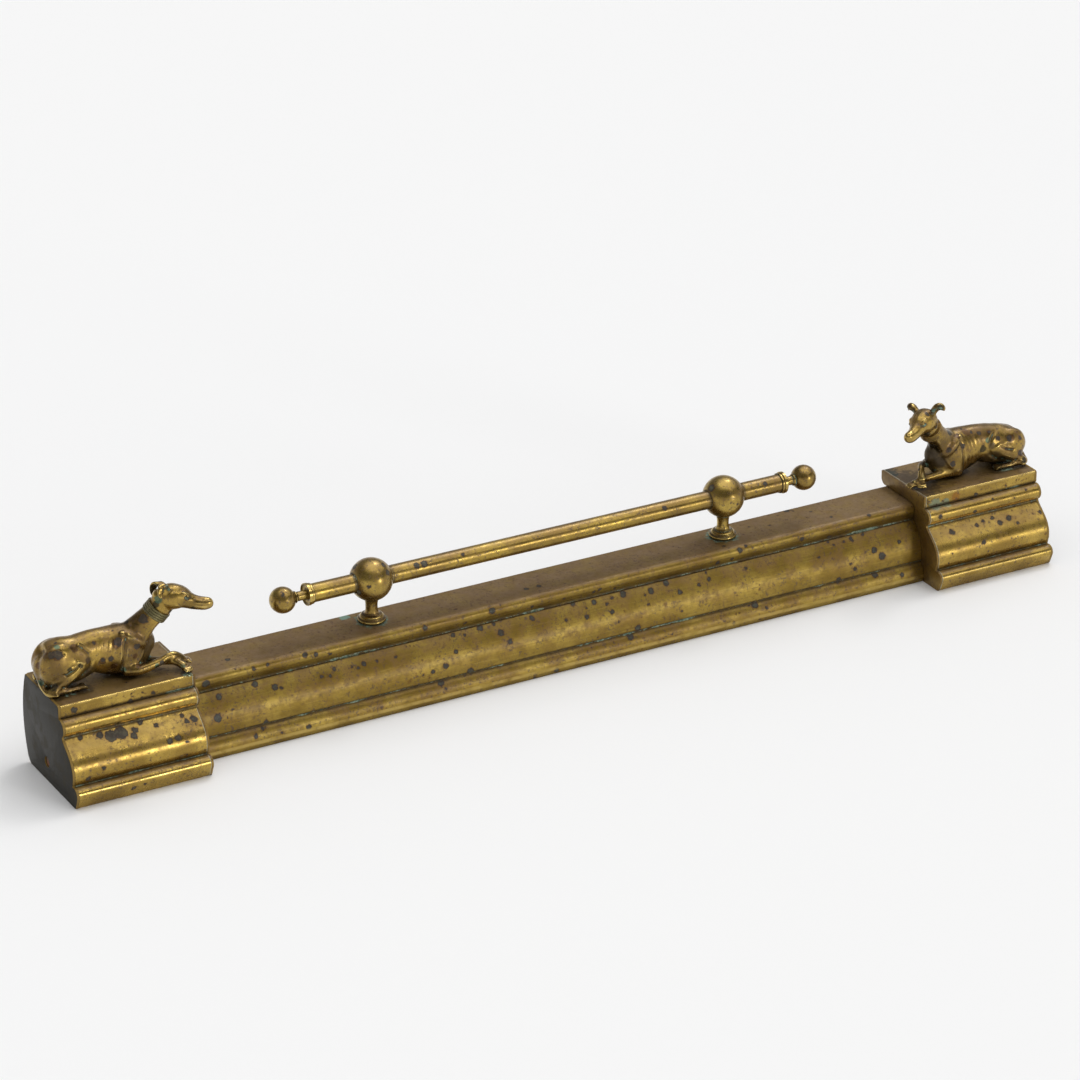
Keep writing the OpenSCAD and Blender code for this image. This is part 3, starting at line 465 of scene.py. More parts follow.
# The larger spots that the photo shows, as [x px, y px, radius mm]
BAR_SPOTS = [
    (206, 684, 4.5), (218, 718, 4.5), (219, 697, 3.5), (233, 709, 1.5), (256, 736, 2.5), (255, 684, 3.5),
    (254, 669, 2), (268, 665, 2), (282, 733, 1.5), (275, 687, 3.5), (309, 727, 3), (305, 655, 3),
    (316, 655, 2.5), (330, 676, 2), (330, 654, 2), (334, 669, 2), (352, 667, 1.5), (358, 668, 2),
    (364, 664, 3), (377, 661, 1.5), (396, 657, 2), (433, 672, 2.5), (425, 628, 3), (441, 683, 3.5),
    (446, 666, 3), (456, 652, 2.5), (453, 635, 2.5), (465, 623, 2), (480, 628, 3.5), (492, 611, 4),
    (494, 624, 2), (501, 633, 4), (532, 618, 3), (532, 607, 2), (526, 589, 3), (557, 670, 3),
    (539, 586, 3), (566, 620, 2), (564, 599, 1.5), (573, 604, 3), (587, 617, 3), (586, 608, 1.5),
    (594, 602, 3), (594, 592, 2), (607, 604, 2), (612, 612, 2.5), (612, 598, 2), (619, 622, 1.5),
    (615, 588, 1.5), (623, 594, 4), (638, 628, 3.5), (645, 595, 1.5), (651, 591, 3.5), (666, 583, 3.5),
    (682, 611, 1.5), (680, 592, 3), (699, 585, 2), (706, 573, 1.5), (709, 579, 2.5), (724, 546, 2),
    (732, 559, 2), (740, 550, 3), (746, 568, 2), (755, 605, 4), (746, 546, 2), (802, 539, 2.5),
    (828, 542, 2), (829, 537, 2.5), (834, 545, 1.5), (831, 517, 2), (844, 542, 1.5), (851, 564, 1.5),
    (855, 569, 2.5), (851, 539, 3), (863, 534, 2), (875, 575, 3.5), (874, 550, 3.5), (882, 556, 4.5),
    (902, 575, 2.5), (899, 542, 2.5), (899, 542, 2.5), (874, 550, 3.5)]
bar = folded_sheet("moulded_bar", BAR_OUTLINE, -BAR_HALF, BAR_HALF, 9,
                   grooves=[(64.4, 66.2), (83, 23)], ridges=[(90, 7)])
sheet_brass = aged_brass("aged_sheet_brass", shine="#98803a", dull="#7b6328", brown="#745b3b",
                         heart_tone="#474b3c", spots=0.5, dents=0.12, drawn_marks=0.5, rough=0.45, film=0.7,
                         wax=0.12, blots=seen_on([bar], BAR_SPOTS),
                         stains_and_shade=[(-213.6, 25, 84, 22, "#7c9f90"), (213.6, 25, 84, 22, "#7c9f90"),
                                 (-236, 45, 84, 8, "#7c9f90")])
dress(bar, sheet_brass, "bar", "bar_shell")

# ---------- Iron inside the bar ----------
# A folded sheet-iron lining riveted along the back, with a keeper plate near each end that a slide
# rod passes through. Iron that has stood by a fire: grey-brown scale with rust coming through.


def scaled_iron(name, ground="#45403a", pale="#5c574c", rust="#6e4a2c", rustiness=0.5, rim=None):
    """Forge-scaled wrought iron: dull grey with rust in drifts and a fine grit."""
    material, node = blank(name)
    place = node("TexCoord", give="Object")
    drift = node("TexNoise", place, 1 / (22 * MM), 5, 0.62)
    grit = node("TexNoise", place, 1 / (1.5 * MM), 4, 0.6)
    runs = node("TexNoise", node("Mapping", place, named={"Scale": (1, 1, 0.15)}), 1 / (6 * MM), 4)
    rusty = node("MapRange", drift, 0.62 - 0.25 * rustiness, 0.74 - 0.2 * rustiness, 0, 0.85, **EASED)
    tone = node("Mix", runs, ground, pale, **BLEND)
    tone = node("Mix", rusty, tone, rust, **BLEND)
    tone = node("Mix", node("MapRange", grit, 0.55, 0.7, 0, 0.5), tone, "#2c2723", **BLEND)
    if rim:
        # Brass filed flush round the plate's rim, which faces along neither X nor -X
        sideways = node("SeparateXYZ", place.node.outputs["Normal"], give="X")
        sideways = node("Math", sideways, operation="ABSOLUTE")
        tone = node("Mix", node("MapRange", sideways, 0.75, 0.45, **EASED), tone, rim, **BLEND)
    metallic = node("MapRange", rusty, 0, 1, 0.6, 0.1)
    rough = node("MapRange", rusty, 0, 1, 0.55, 0.8)
    relief = node("Math", drift, grit, operation="ADD")
    bumps = node("Bump", named={"Height": relief, "Distance": 0.12 * MM, "Strength": 1.0})
    skin = node("BsdfPrincipled", named={"Base Color": tone, "Metallic": metallic, "Roughness": rough,
                                         "Normal": bumps})
    node("OutputMaterial", skin)
    return material


lining_iron = scaled_iron("scaled_lining_iron")
rod_iron = scaled_iron("rusty_rod_iron", "#54493d", "#5c574c", "#8a4f27", 1.0)
for name in ("bar_lining", "left_keeper", "right_keeper"):
    dress(parts[name], lining_iron)
rivet_brass = aged_brass("dull_rivet_brass", dull="#7a6030", flat_tarnish=0.3, spots=0.5, rough=0.45)
dress(parts["bar_rivets"], rivet_brass)

# ---------- Posts ----------
# Two turned brass pedestals stand on the bar, each with a cast and turned ball, bored across for
# the rail and tapped below for an iron stud that a washer and a nut hold under the bar's top.

POST_X = 213.6
RAIL_Y = BACK_Y - 32.7
RAIL_Z = 131
BAR_TOP = 84


def turned(name, outline, middle, axis, steps=96, grooves=(), ridges=(), closed=False):
    """A lathe piece: an outline of [radius, distance along the axis] in mm, spun round the axis at middle."""
    along = Vector((1, 0, 0)) if axis == "X" else Vector((0, 0, 1))
    out = Vector((0, 0, 1)) if axis == "X" else Vector((1, 0, 0))
    points = [(Vector(middle) + along * h + out * r) * MM for r, h in outline
              + (outline[:1] if closed else [])]
    piece = drawn(name, [tuple(p) for p in points])
    work(piece, ("spin", {"steps": steps, "angle": 2 * math.pi, "center": Vector(middle) * MM,
                          "axis": along}))
    work(piece, MERGED, FACING_OUT)
    where = corners(piece) - np.array(middle, float)
    height = where[:, 0] if axis == "X" else where[:, 2]
    radius = np.hypot(where[:, 1], where[:, 2]) if axis == "X" else np.hypot(where[:, 0], where[:, 1])
    across = np.stack([radius, height], 1)
    # Grooves get verdigris and a dark brown that is partly grime and partly painted shade; ridges get a
    # lighter tone that is partly wear and partly a painted highlight
    mark(piece, "cranny", nearness(grooves, across, 4) if grooves else np.zeros(len(across)))
    mark(piece, "edge", nearness(ridges, across, 3) if ridges else np.zeros(len(across)))
    smooth(piece)
    return piece


def copied(piece, name, x_mm=0, mirror=False):
    """A copy with its own mesh, moved along X or mirrored across the middle of the fender."""
    choose(piece)
    bpy.ops.object.duplicate()
    twin = bpy.context.object
    twin.name = name
    twin.data.name = name
    twin.location = (x_mm * MM, 0, 0)
    twin.scale = (-1, 1, 1) if mirror else (1, 1, 1)
    bpy.ops.object.transform_apply()
    if mirror:
        work(twin, MERGED, FACING_OUT)
    return twin


def turned_pair(left, stands_for, **placing):
    """Adds the right-hand copy of a turned piece and dresses both."""
    right = copied(left, left.name.replace("left", "right"), **placing)
    for side, piece in (("left", left), ("right", right)):
        dress(piece, turned_brass, "bar", f"{side}_{stands_for}")


turned_brass = aged_brass("aged_turned_brass", shine="#b79c4b", flat_tarnish=0.3, rough=0.26, dents=0.8,
                          wax=0.25, speckle=0.9,
                          blots=[(196, 22, 146, 4), (-229, 31, 146, 4), (-233, 16, 125, 4), (-202, 9, 143, 3),
                                 (-204, 15, 149, 2.5), (-319, 17, 141, 2), (-226, 6, 133, 2)])
pedestal_outline = ([(3.1, 0)] + arc((12.9, 2.3), 2.3, -90, 60) + [(13.5, 4.5)]
                    + bend((13, 4.9), (12.6, 6.6), (11.2, 7.8), (9.6, 8), 10)
                    + bend((9.1, 8.2), (7.4, 8.9), (6.5, 11), (6.4, 15), 12)
                    + bend((6.4, 17.2), (6.4, 20), (6.8, 23.5), (8.2, 25.5)) + [(3.1, 25.5)])
left_pedestal = turned("left_turned_pedestal", pedestal_outline, (-POST_X, RAIL_Y, BAR_TOP), "Z", closed=True,
                       grooves=[(15.2, 0.2), (14.4, 5.2), (9.4, 9.2), (8.2, 25.5)],
                       ridges=[(15.1, 2.6), (11.8, 7.2)])
turned_pair(left_pedestal, "pedestal", x_mm=2 * POST_X)

BALL = 23
BORE = 10.05
BORE_END = 20.6
SEAT = 21.49
bore_mouths = [(10.3, BORE_END), (10.3, -BORE_END)]
ball_outline = [(r, x) for x, r in arc((0, 0), BALL, 27.5, 152.5, 64)]
ball_outline += [(10.6, -BORE_END), (BORE, -20.2), (BORE, 20.2), (10.6, BORE_END)]
left_ball = turned("left_turned_ball", ball_outline, (-POST_X, RAIL_Y, RAIL_Z), "X", closed=True)
work(left_ball, ("bisect", {"plane_co": (0, 0, (RAIL_Z - SEAT) * MM), "plane_no": (0, 0, -1),
                            "clear_outer": True, "use_fill": True}))
work(left_ball, MERGED, FACING_OUT)
smooth(left_ball)
where = corners(left_ball) - np.array([-POST_X, RAIL_Y, RAIL_Z])
across = np.stack([np.hypot(where[:, 1], where[:, 2]), where[:, 0]], 1)
# Round the bore's mouths and where the ball sits on its pedestal it gets verdigris and a dark brown that is
# partly grime and partly painted shade
near_seat = np.clip(1 - (where[:, 2] + SEAT) / 3, 0, 1)
mark(left_ball, "cranny", np.maximum(nearness(bore_mouths, across, 4), near_seat))
turned_pair(left_ball, "ball", x_mm=2 * POST_X)
for side in ("left", "right"):
    for name in ("post_stud", "post_washer", "post_nut"):
        dress(parts[f"{side}_{name}"], rod_iron)

# ---------- Rail ----------
# A drawn brass tube through both balls. A thin ferrule is soldered round each end, and a turned
# finial, a ball on a short neck with a flange, is pressed in by its spigot.

TUBE_HALF = 286
FERRULE = 3.5
TUBE, TUBE_BORE, TUBE_BEVEL = 10, 8.5, 0.6
tube_outline = spaced([(TUBE - TUBE_BEVEL, -TUBE_HALF), (TUBE, TUBE_BEVEL - TUBE_HALF),
                       (TUBE, TUBE_HALF - TUBE_BEVEL), (TUBE - TUBE_BEVEL, TUBE_HALF),
                       (TUBE_BORE, TUBE_HALF)], 5) + [(TUBE_BORE, -TUBE_HALF)]
tube = turned("rail_tube_drawn", tube_outline, (0, RAIL_Y, RAIL_Z), "X", steps=64, closed=True)
# Next to the balls and the ferrules the tube gets verdigris and a dark brown that is partly grime and partly
# painted shade
x = np.abs(corners(tube)[:, 0])
at_ball = np.clip(1 - np.abs(np.abs(x - POST_X) - BORE_END) / 7, 0, 1)
at_ferrule = np.clip(1 - np.abs(x - TUBE_HALF + FERRULE) / 4, 0, 1)
mark(tube, "cranny", np.maximum(at_ball, at_ferrule))
tube_brass = aged_brass("aged_drawn_tube_brass", flat_tarnish=0.4, spots=0.8, rough=0.3, dents=0.5,
                        drawn_marks=0.6, film=0.45, wax=0.25,
                        blots=[(-155, 18, 138, 4), (-164, 18, 138, 3.5), (-109, 18, 138, 2),
                               (262, 18, 138, 2.5)])
dress(tube, tube_brass, "bar", "rail_tube")

ferrule_outline = [(BORE, 0), (10.9, 0), (11.2, 0.3), (11.3, 0.8), (11.3, 2.4), (11.1, 2.9), (10.6, 3.3),
                   (BORE, FERRULE)]
left_ferrule = turned("left_ferrule_ring", ferrule_outline, (-TUBE_HALF, RAIL_Y, RAIL_Z), "X", closed=True,
                      grooves=[(10.2, FERRULE)], ridges=[(11.3, 0.6), (11.3, 2.6)])
turned_pair(left_ferrule, "ferrule", mirror=True)

finial_outline = ([(0, 12), (7.4, 12), (8.4, 11), (8.4, 0), (11.4, 0), (12, -0.6), (12, -3.2), (11.7, -3.6),
                   (11.2, -3.6), (10.2, -2.4), (8.4, -1.7), (6.6, -1.6), (5.4, -2.4), (5.1, -4), (5, -9),
                   (5.1, -13.8), (5.9, -14.6), (6.5, -15.4), (6.4, -16.2), (5.8, -16.8)]
                  + arc((0, -29.6), 14, 64, -84, 37) + [(0, -43.6)])
# One groove mark lies on the flange's dished face towards the ball, which it darkens as painted shade
left_finial = turned("left_turned_finial", finial_outline, (-TUBE_HALF, RAIL_Y, RAIL_Z), "X",
                     grooves=[(9.6, -3.2), (6.8, -2.8), (4.2, -14.2), (5.6, -17.2)],
                     ridges=[(12, -1), (12, -3), (6.5, -15.6)])
turned_pair(left_finial, "finial", mirror=True)

# ---------- End blocks ----------
# Each block is sheet brass over a taller moulding: a slab with a square edge, a round bead, a belly
# and a rounded foot, closed outside by an iron plate and inside by one cut out for the bar.

BLOCK_OUT, BLOCK_IN = -590, -440
BLOCK_FRONT = ([(85.5, 100), (85.5, 86.5), (84, 86.5)] + arc((86.5, 76.5), 9.5, 105, -60, 16)
               + bend((91, 66.5), (96, 58), (122, 49), (113, 23.5), 20) + [(112.5, 22.5)]
               + arc((116.1, 15), 7.5, 110, -25, 14) + [(119.1, 2.5), (117.6, 0)])
BLOCK_OUTLINE = [(0, 86), (0, 100)] + BLOCK_FRONT + [(105.6, 0)]
BLOCK_SPOTS = [
    (88, 779, 2.5), (74, 710, 3.5), (80, 738, 3), (104, 768, 2.5), (100, 735, 3.5), (111, 736, 6.5),
    (121, 733, 7), (134, 788, 2.5), (134, 736, 4), (145, 784, 1.5), (135, 730, 3.5), (130, 702, 3.5),
    (140, 722, 3), (156, 725, 2.5), (153, 693, 2), (170, 741, 3.5), (178, 738, 3.5), (187, 742, 2),
    (182, 716, 2.5), (187, 721, 2.5), (194, 719, 4), (976, 495, 2.5), (975, 512, 2.5), (952, 532, 3.5),
    (1000, 523, 3.5), (1009, 518, 3.5), (992, 518, 2.5), (977, 525, 2.5), (983, 521, 2), (984, 542, 2.5),
    (1040, 512, 2.5), (1018, 523, 2), (993, 499, 1.5), (1026, 490, 1.5), (971, 499, 2), (1014, 504.5, 1.5)]
left_shell = folded_sheet("left_moulded_block", BLOCK_OUTLINE, BLOCK_OUT + 3, BLOCK_IN - 2.5, 5,
                          grooves=[(84.6, 86.4), (91, 67), (112.7, 22.8)], ridges=[(85.5, 99.5), (122, 17)])
right_shell = copied(left_shell, "right_moulded_block", -BLOCK_OUT - BLOCK_IN - 0.5)
for shell, end in ((left_shell, BLOCK_IN - 2.5), (right_shell, 2.5 - BLOCK_IN)):
    mark(shell, "seam", 1 - np.abs(corners(shell)[:, 0] - end) / 5)
block_brass = aged_brass("bright_block_brass", shine="#b89a49", dull="#917533", flat_tarnish=0.75, spots=0.4,
                         dents=0.4, drawn_marks=0.25, heart_tone="#565039", rough=0.27, film=0.5, wax=0.2,
                         blots=seen_on([left_shell, right_shell], BLOCK_SPOTS),
                         # A large dark brown patch on the right slab's top at its inner end, round the
                         # hound's forefeet, orange-brown and grey-green ones on the slab's front, and a
                         # black-green one near its inner back corner
                         stains_and_shade=[(440, 10, 100, 52, "#45361f"), (482, -28, 92, 8, "#8f6226"),
                                 (455, -28, 88, 10, "#79836a"), (468, -28, 87, 8, "#79836a"),
                                 (440, 48, 94, 20, "#26302a")])
dress(left_shell, block_brass, "left_block", "left_block_shell")
dress(right_shell, block_brass, "right_block", "right_block_shell")


def eased_copy(node, name, width):
    """A merged copy of a CAD plate with its edges worn round."""
    twin = bpy.data.objects.new(name, parts[node].data.copy())
    twin.data.name = name
    bpy.context.scene.collection.objects.link(twin)
    work(twin, MERGED, ("dissolve_limited", {"angle_limit": math.radians(2)}))
    finish_with(twin, "BEVEL", width=width * MM, segments=2, limit_method="ANGLE",
                angle_limit=math.radians(60))
    smooth(twin)
    return twin


plate_iron = scaled_iron("dull_end_iron", "#201e18", "#37342b", "#3a3426", 0.5, rim="#8a7038")
inner_brass = aged_brass("dull_inner_plate_brass", shine="#94793e", dull="#745c34", spots=0.8, rough=0.5)
for side in ("left", "right"):
    plate = eased_copy(f"{side}_end_plate", f"{side}_end_plate_worn", 0.6)
    dress(plate, plate_iron, f"{side}_block", f"{side}_end_plate")
    plate = eased_copy(f"{side}_inner_plate", f"{side}_inner_plate_worn", 0.4)
    dress(plate, inner_brass, f"{side}_block", f"{side}_inner_plate")
    for name in ("saddle", "rod_flange", "stop_nut"):
        dress(parts[f"{side}_{name}"], lining_iron)
    dress(parts[f"{side}_rod"], rod_iron)

# ---------- Hounds ----------
# Two cast-brass greyhounds lie on the blocks, each held by two screws from below, and look along
# the fender and out to the room. The casting was filed and chased: creases, toes, eyes and ears
# are cut in, high points are rubbed bright, partly as a painted highlight, and verdigris and painted
# shade sit in every fold.

HOUND_MID = 43
NAPE = (120, 52)


def along_curve(stations, steps):
    """Rounded curve through stations of [along, depth, height, half width, half height]."""
    s = np.array(stations, float)
    p = np.vstack([s[:1], s, s[-1:]])
    t = np.linspace(0, 1, steps, endpoint=False)[:, None]
    runs = []
    for i in range(len(s) - 1):
        a, b, c, d = p[i], p[i + 1], p[i + 2], p[i + 3]
        runs.append(0.5 * (2 * b + (c - a) * t + (2 * a - 5 * b + 4 * c - d) * t ** 2
                           + (3 * b - a - 3 * c + d) * t ** 3))
    return np.vstack(runs + [s[-1:]])


class Casting:
    """Collects closed limbs, which a remesh then makes one skin."""

    def __init__(self):
        self.points, self.faces, self.count = [], [], 0

    def keep(self, points, faces):
        self.points.append(points)
        self.faces += [[i + self.count for i in face] for face in faces]
        self.count += len(points)

    def limb(self, stations, up=(0, 0, 1), sides=24, steps=6):
        """A round limb through its stations, domed at both ends."""
        s = along_curve(stations, steps)
        heading = np.gradient(s[:, :3], axis=0)
        heading /= np.linalg.norm(heading, axis=1)[:, None]
        ends = []
        for i, sign in ((0, -1), (-1, 1)):
            reach = min(s[i, 3], s[i, 4]) * 0.8
            for angle in (30, 60, 80):
                cap = s[i].copy()
                cap[:3] += sign * heading[i] * reach * math.sin(math.radians(angle))
                cap[3:] *= math.cos(math.radians(angle))
                ends.append(cap)
        s = np.vstack([ends[2::-1], s, ends[3:]])
        heading = np.vstack([[heading[0]] * 3, heading, [heading[-1]] * 3])
        side = np.cross(heading, up)
        side /= np.linalg.norm(side, axis=1)[:, None]
        over = np.cross(side, heading)
        turn = np.linspace(0, 2 * math.pi, sides, endpoint=False)
        rings = (s[:, None, :3] + s[:, None, 3:4] * np.cos(turn)[None, :, None] * side[:, None]
                 + s[:, None, 4:5] * np.sin(turn)[None, :, None] * over[:, None])
        last = len(s) - 1
        faces = [(i * sides + j, i * sides + (j + 1) % sides, (i + 1) * sides + (j + 1) % sides,
                  (i + 1) * sides + j)
                 for i in range(last) for j in range(sides)]
        faces += [tuple(range(sides))[::-1], tuple(last * sides + j for j in range(sides))]
        self.keep(rings.reshape(-1, 3), faces)

    def lump(self, at, radii, turn=(0, 0, 0)):
        """An egg-shaped mass, turned in degrees about along, depth and height."""
        rows, sides = 14, 24
        rise = np.linspace(-90, 90, rows + 1)[1:-1]
        ring = np.radians(np.arange(sides) * 360 / sides)
        ball = np.array([[math.cos(math.radians(v)) * math.cos(u), math.cos(math.radians(v)) * math.sin(u),
                          math.sin(math.radians(v))] for v in rise for u in ring] + [[0, 0, -1], [0, 0, 1]])
        ball = ball * np.array(radii, float)
        for axis, angle in enumerate(turn):
            c, s = math.cos(math.radians(angle)), math.sin(math.radians(angle))
            i, j = [(1, 2), (2, 0), (0, 1)][axis]
            ball[:, [i, j]] = np.stack([ball[:, i] * c - ball[:, j] * s, ball[:, i] * s + ball[:, j] * c], 1)
        faces = [(r * sides + k, r * sides + (k + 1) % sides, (r + 1) * sides + (k + 1) % sides,
                  (r + 1) * sides + k)
                 for r in range(rows - 2) for k in range(sides)]
        low, high = len(ball) - 2, len(ball) - 1
        faces += [(low, (k + 1) % sides, k) for k in range(sides)]
        faces += [(high, (rows - 2) * sides + k, (rows - 2) * sides + (k + 1) % sides) for k in range(sides)]
        self.keep(ball + np.array(at, float), faces)


def barrel(along, depth, top, belly, half):
    return [along, depth, (top + belly) / 2, half, (top - belly) / 2]


class HeadFrame:
    """Turns places written along the head's own axis into the hound's axes."""

    def __init__(self, turn, nod):
        self.turn, self.nod = math.radians(turn), math.radians(nod)
        self.roll = math.radians(13)
        self.lift = nod / 3

    def way(self, direction):
        """A direction in the head's axes as one in the hound's."""
        return (self(np.array(direction) + (0, 0, 79)) - self((0, 0, 79)))[0]

    def __call__(self, p):
        p = np.atleast_2d(np.array(p, float)).copy()
        x, y, z = p[:, 0], p[:, 1], p[:, 2] - 79
        c, s = math.cos(self.roll), math.sin(self.roll)
        y, z = y * c - z * s, y * s + z * c
        c, s = math.cos(-self.nod), math.sin(-self.nod)
        x, z = x * c + z * s, -x * s + z * c
        z = z + 79 + self.lift
        c, s = math.cos(self.turn), math.sin(self.turn)
        p[:, 0], p[:, 1], p[:, 2] = NAPE[0] + x * c - y * s, NAPE[1] + x * s + y * c, z
        return p


def hound_casting(turn, nod, near_ear, far_ear, rump, near_leg, far_leg):
    """The hound's masses, in [along, depth, height] mm from the block's outer back corner."""
    cast = Casting()
    in_head = HeadFrame(turn, nod)

    cast.limb([barrel(3, 43, rump * 0.75, 10, 12), barrel(7, 43, rump * 0.9, 2, 18),
               barrel(19, 44, rump, 0, 20),
               barrel(38, 44, rump * 0.4 + 31, 3, 18.5), barrel(56, 43.5, rump * 0.2 + 43, 8, 16.4),
               barrel(74, 43, 53, 1, 18.4), barrel(92, 44, 53, -2, 19.5), barrel(106, 45, 52.5, 5.5, 16.5),
               barrel(116, 47, 46, 18, 9)], sides=40)

    def of_head(distance, high, half, tall):
        a = math.radians(turn)
        return [NAPE[0] + distance * math.cos(a), NAPE[1] + distance * math.sin(a), high, half, tall]

    cast.limb([[94, 45, 36, 16, 15], [105, 48, 44, 13.5, 15], [114, 50.5, 54, 11.8, 12.8],
               of_head(4.5, 64, 11.2, 11.8),
               of_head(11, 72, 11.4, 12.2), of_head(14, 80, 10.5, 10)], sides=32)
    # Shoulder blades and the point of the shoulder, on both sides
    for out in (1, -1):
        cast.limb([[86, 44 + out * 11, 47, 4, 3.5], [94, 45 + out * 13.6, 42, 5.6, 5],
                   [102, 46.5 + out * 13, 36.5, 5.6, 5.5],
                   [106.5, 47 + out * 11, 31.5, 4.6, 4.6]], up=(0, 1, 0), sides=20)

    # Forelegs
    for arm, (lower, paw, heading) in ((NEAR_ARM, near_leg), (FAR_ARM, far_leg)):
        cast.limb(arm, up=(1, 0, 0))
        cast.limb(lower)
        paw_toes(cast, paw, heading, 7.5)

    # Hind legs: haunch, thigh to the knee, shank back to the hock, and foot forward again
    for out, haunch in ((1, rump - 1), (-1, rump - 4)):
        y = lambda d: HOUND_MID + out * d
        cast.lump((17.5, y(10.5), haunch / 2 + 1), (22, 12, haunch / 2 - 1), (0, 6, 0))
        cast.limb([[14, y(13), haunch * 0.66, 5, 12], [26, y(15), haunch * 0.56, 6.5, 12.5],
                   [36, y(15.5), haunch * 0.47 + 4, 5.6, 8.5],
                   [42.5, y(15), haunch * 0.3 + 13.5, 4.6, 5.8]], sides=24)
        cast.limb([[42.5, y(15), 27, 4.4, 5], [39, y(16), 24.5, 5, 6.5], [31, y(18.5), 20, 4.6, 6.4],
                   [17, y(20.5), 12.5, 3.6, 5], [6, y(20.5), 7.5, 3.2, 4.4], [2.2, y(20), 6, 3.2, 4.2]])
        cast.limb([[2.4, y(20), 4.8, 3.4, 4.4], [14, y(21), 3.4, 3, 3.5], [27, y(20.5), 3.2, 3.2, 3.2],
                   [35.5, y(19), 3.2, 4.6, 3.2]])
        paw_toes(cast, (35.5, y(19), 0), 0, 6.5)
    cast.limb([[0, 34, 23, 3.6, 3.6], [-1.5, 42, 15, 3.4, 3.4], [-1.8, 53, 7.5, 3.2, 3.2],
               [0, 63, 3.6, 3, 3.2],
               [8, 68.5, 2.8, 2.4, 2.8]], up=(1, 0, 0), sides=16)

    # Head: skull, muzzle, nose, jaw muscle, brows and eyes
    def head_limb(stations, **settings):
        s = np.array([[a, y, (top + low) / 2, half, (top - low) / 2] for a, y, top, low, half in stations])
        held = along_curve(s, 1)
        held[:, :3] = in_head(held[:, :3])
        cast.limb(held, **settings)

    head_limb([(6, 0, 87.5, 73, 7.5), (11, 0, 90.8, 68, 12), (18, 0, 92.5, 65.5, 13.8),
               (25, 0, 91.5, 65.5, 13.4),
               (31.5, 0, 88, 66, 11.2), (36.5, 0, 83.5, 65.8, 9), (42, 0, 80.6, 64.6, 7.3),
               (48, 0, 78.6, 64, 6.6),
               (54, 0, 78, 63.8, 6.2), (58.2, 0, 77.2, 65.4, 5.5)], sides=32)

    def head_lump(at, radii, tilt=(0, 0, 0)):
        place = in_head(at)[0]
        cast.lump(place, radii, (tilt[0] + 13, tilt[1] + nod, tilt[2] + turn))

    head_lump((57.6, 0, 75), (2.8, 3.7, 2.5))
    for out in (1, -1):
        head_lump((22.5, out * 8.6, 75.5), (8, 4.2, 5.8), (0, 8, 0))
        head_lump((33.2, out * 7.6, 83.4), (5.0, 3.0, 1.9), (0, 24, -out * 24))
        head_lump((36.3, out * 7.6, 80.2), (2.5, 1.9, 1.9))
        head_lump((52.5, out * 3.6, 70), (6.5, 3.0, 3.9), (0, 4, 0))

    def ear(out, stations):
        s = np.array([[p[0], out * p[1], p[2], p[3], p[4]] for p in stations], float)
        s = along_curve(s, 4)
        s[:, :3] = in_head(s[:, :3])
        cast.limb(s, up=in_head.way((1, 0, 0)), sides=20, steps=2)

    ear(1, near_ear)
    ear(-1, far_ear)
    return cast, in_head


def paw_toes(cast, at, heading, length):
    """Four arched toes with a nail each, spread across a paw."""
    c, s = math.cos(math.radians(heading)), math.sin(math.radians(heading))
    for i in (-1.5, -0.5, 0.5, 1.5):
        root = (at[0] - 2.3 * i * s, at[1] + 2.3 * i * c)
        reach = length - 0.9 * abs(i)
        tip = (at[0] - 2.75 * i * s + reach * c, at[1] + 2.75 * i * c + reach * s)
        mid = (root[0] * 0.4 + tip[0] * 0.6, root[1] * 0.4 + tip[1] * 0.6)
        cast.limb([[root[0], root[1], at[2] + 3.6, 1.5, 2.2], [mid[0], mid[1], at[2] + 3.9, 1.45, 2.1],
                   [tip[0], tip[1], at[2] + 1.9, 1.3, 1.6]], sides=12, steps=4)


def neighbours(mesh):
    """The two ends of each edge and how many edges meet at each point."""
    ends = np.zeros(len(mesh.edges) * 2, int)
    mesh.edges.foreach_get("vertices", ends)
    a, b = ends[::2], ends[1::2]
    return a, b, np.maximum(np.bincount(np.r_[a, b], minlength=len(mesh.vertices)), 1)


def relaxed(points, web, rounds, weight=0.5):
    """Points drawn towards the middle of their neighbours, as a rub with a file does."""
    a, b, count = web
    weight = np.broadcast_to(weight, len(points))[:, None]
    for _ in range(rounds):
        total = np.stack([np.bincount(a, points[b, k], len(points))
                          + np.bincount(b, points[a, k], len(points))
                          for k in range(3)], 1)
        points = points + weight * (total / count[:, None] - points)
    return points


def facing(piece, points):
    """The outward direction at each point."""
    piece.data.vertices.foreach_set("co", (points * MM).ravel())
    piece.data.update()
    flat = np.zeros(len(points) * 3)
    piece.data.vertex_normals.foreach_get("vector", flat)
    return flat.reshape(-1, 3)


def off_line(points, line):
    """How far each point lies from a broken line."""
    line = np.array(line, float)
    if len(line) == 1:
        return np.linalg.norm(points - line[0], axis=1)
    best = np.full(len(points), 1e9)
    for a, b in zip(line, line[1:]):
        ab = b - a
        t = np.clip(((points - a) @ ab) / (ab @ ab), 0, 1)
        best = np.minimum(best, np.linalg.norm(points - a - t[:, None] * ab, axis=1))
    return best


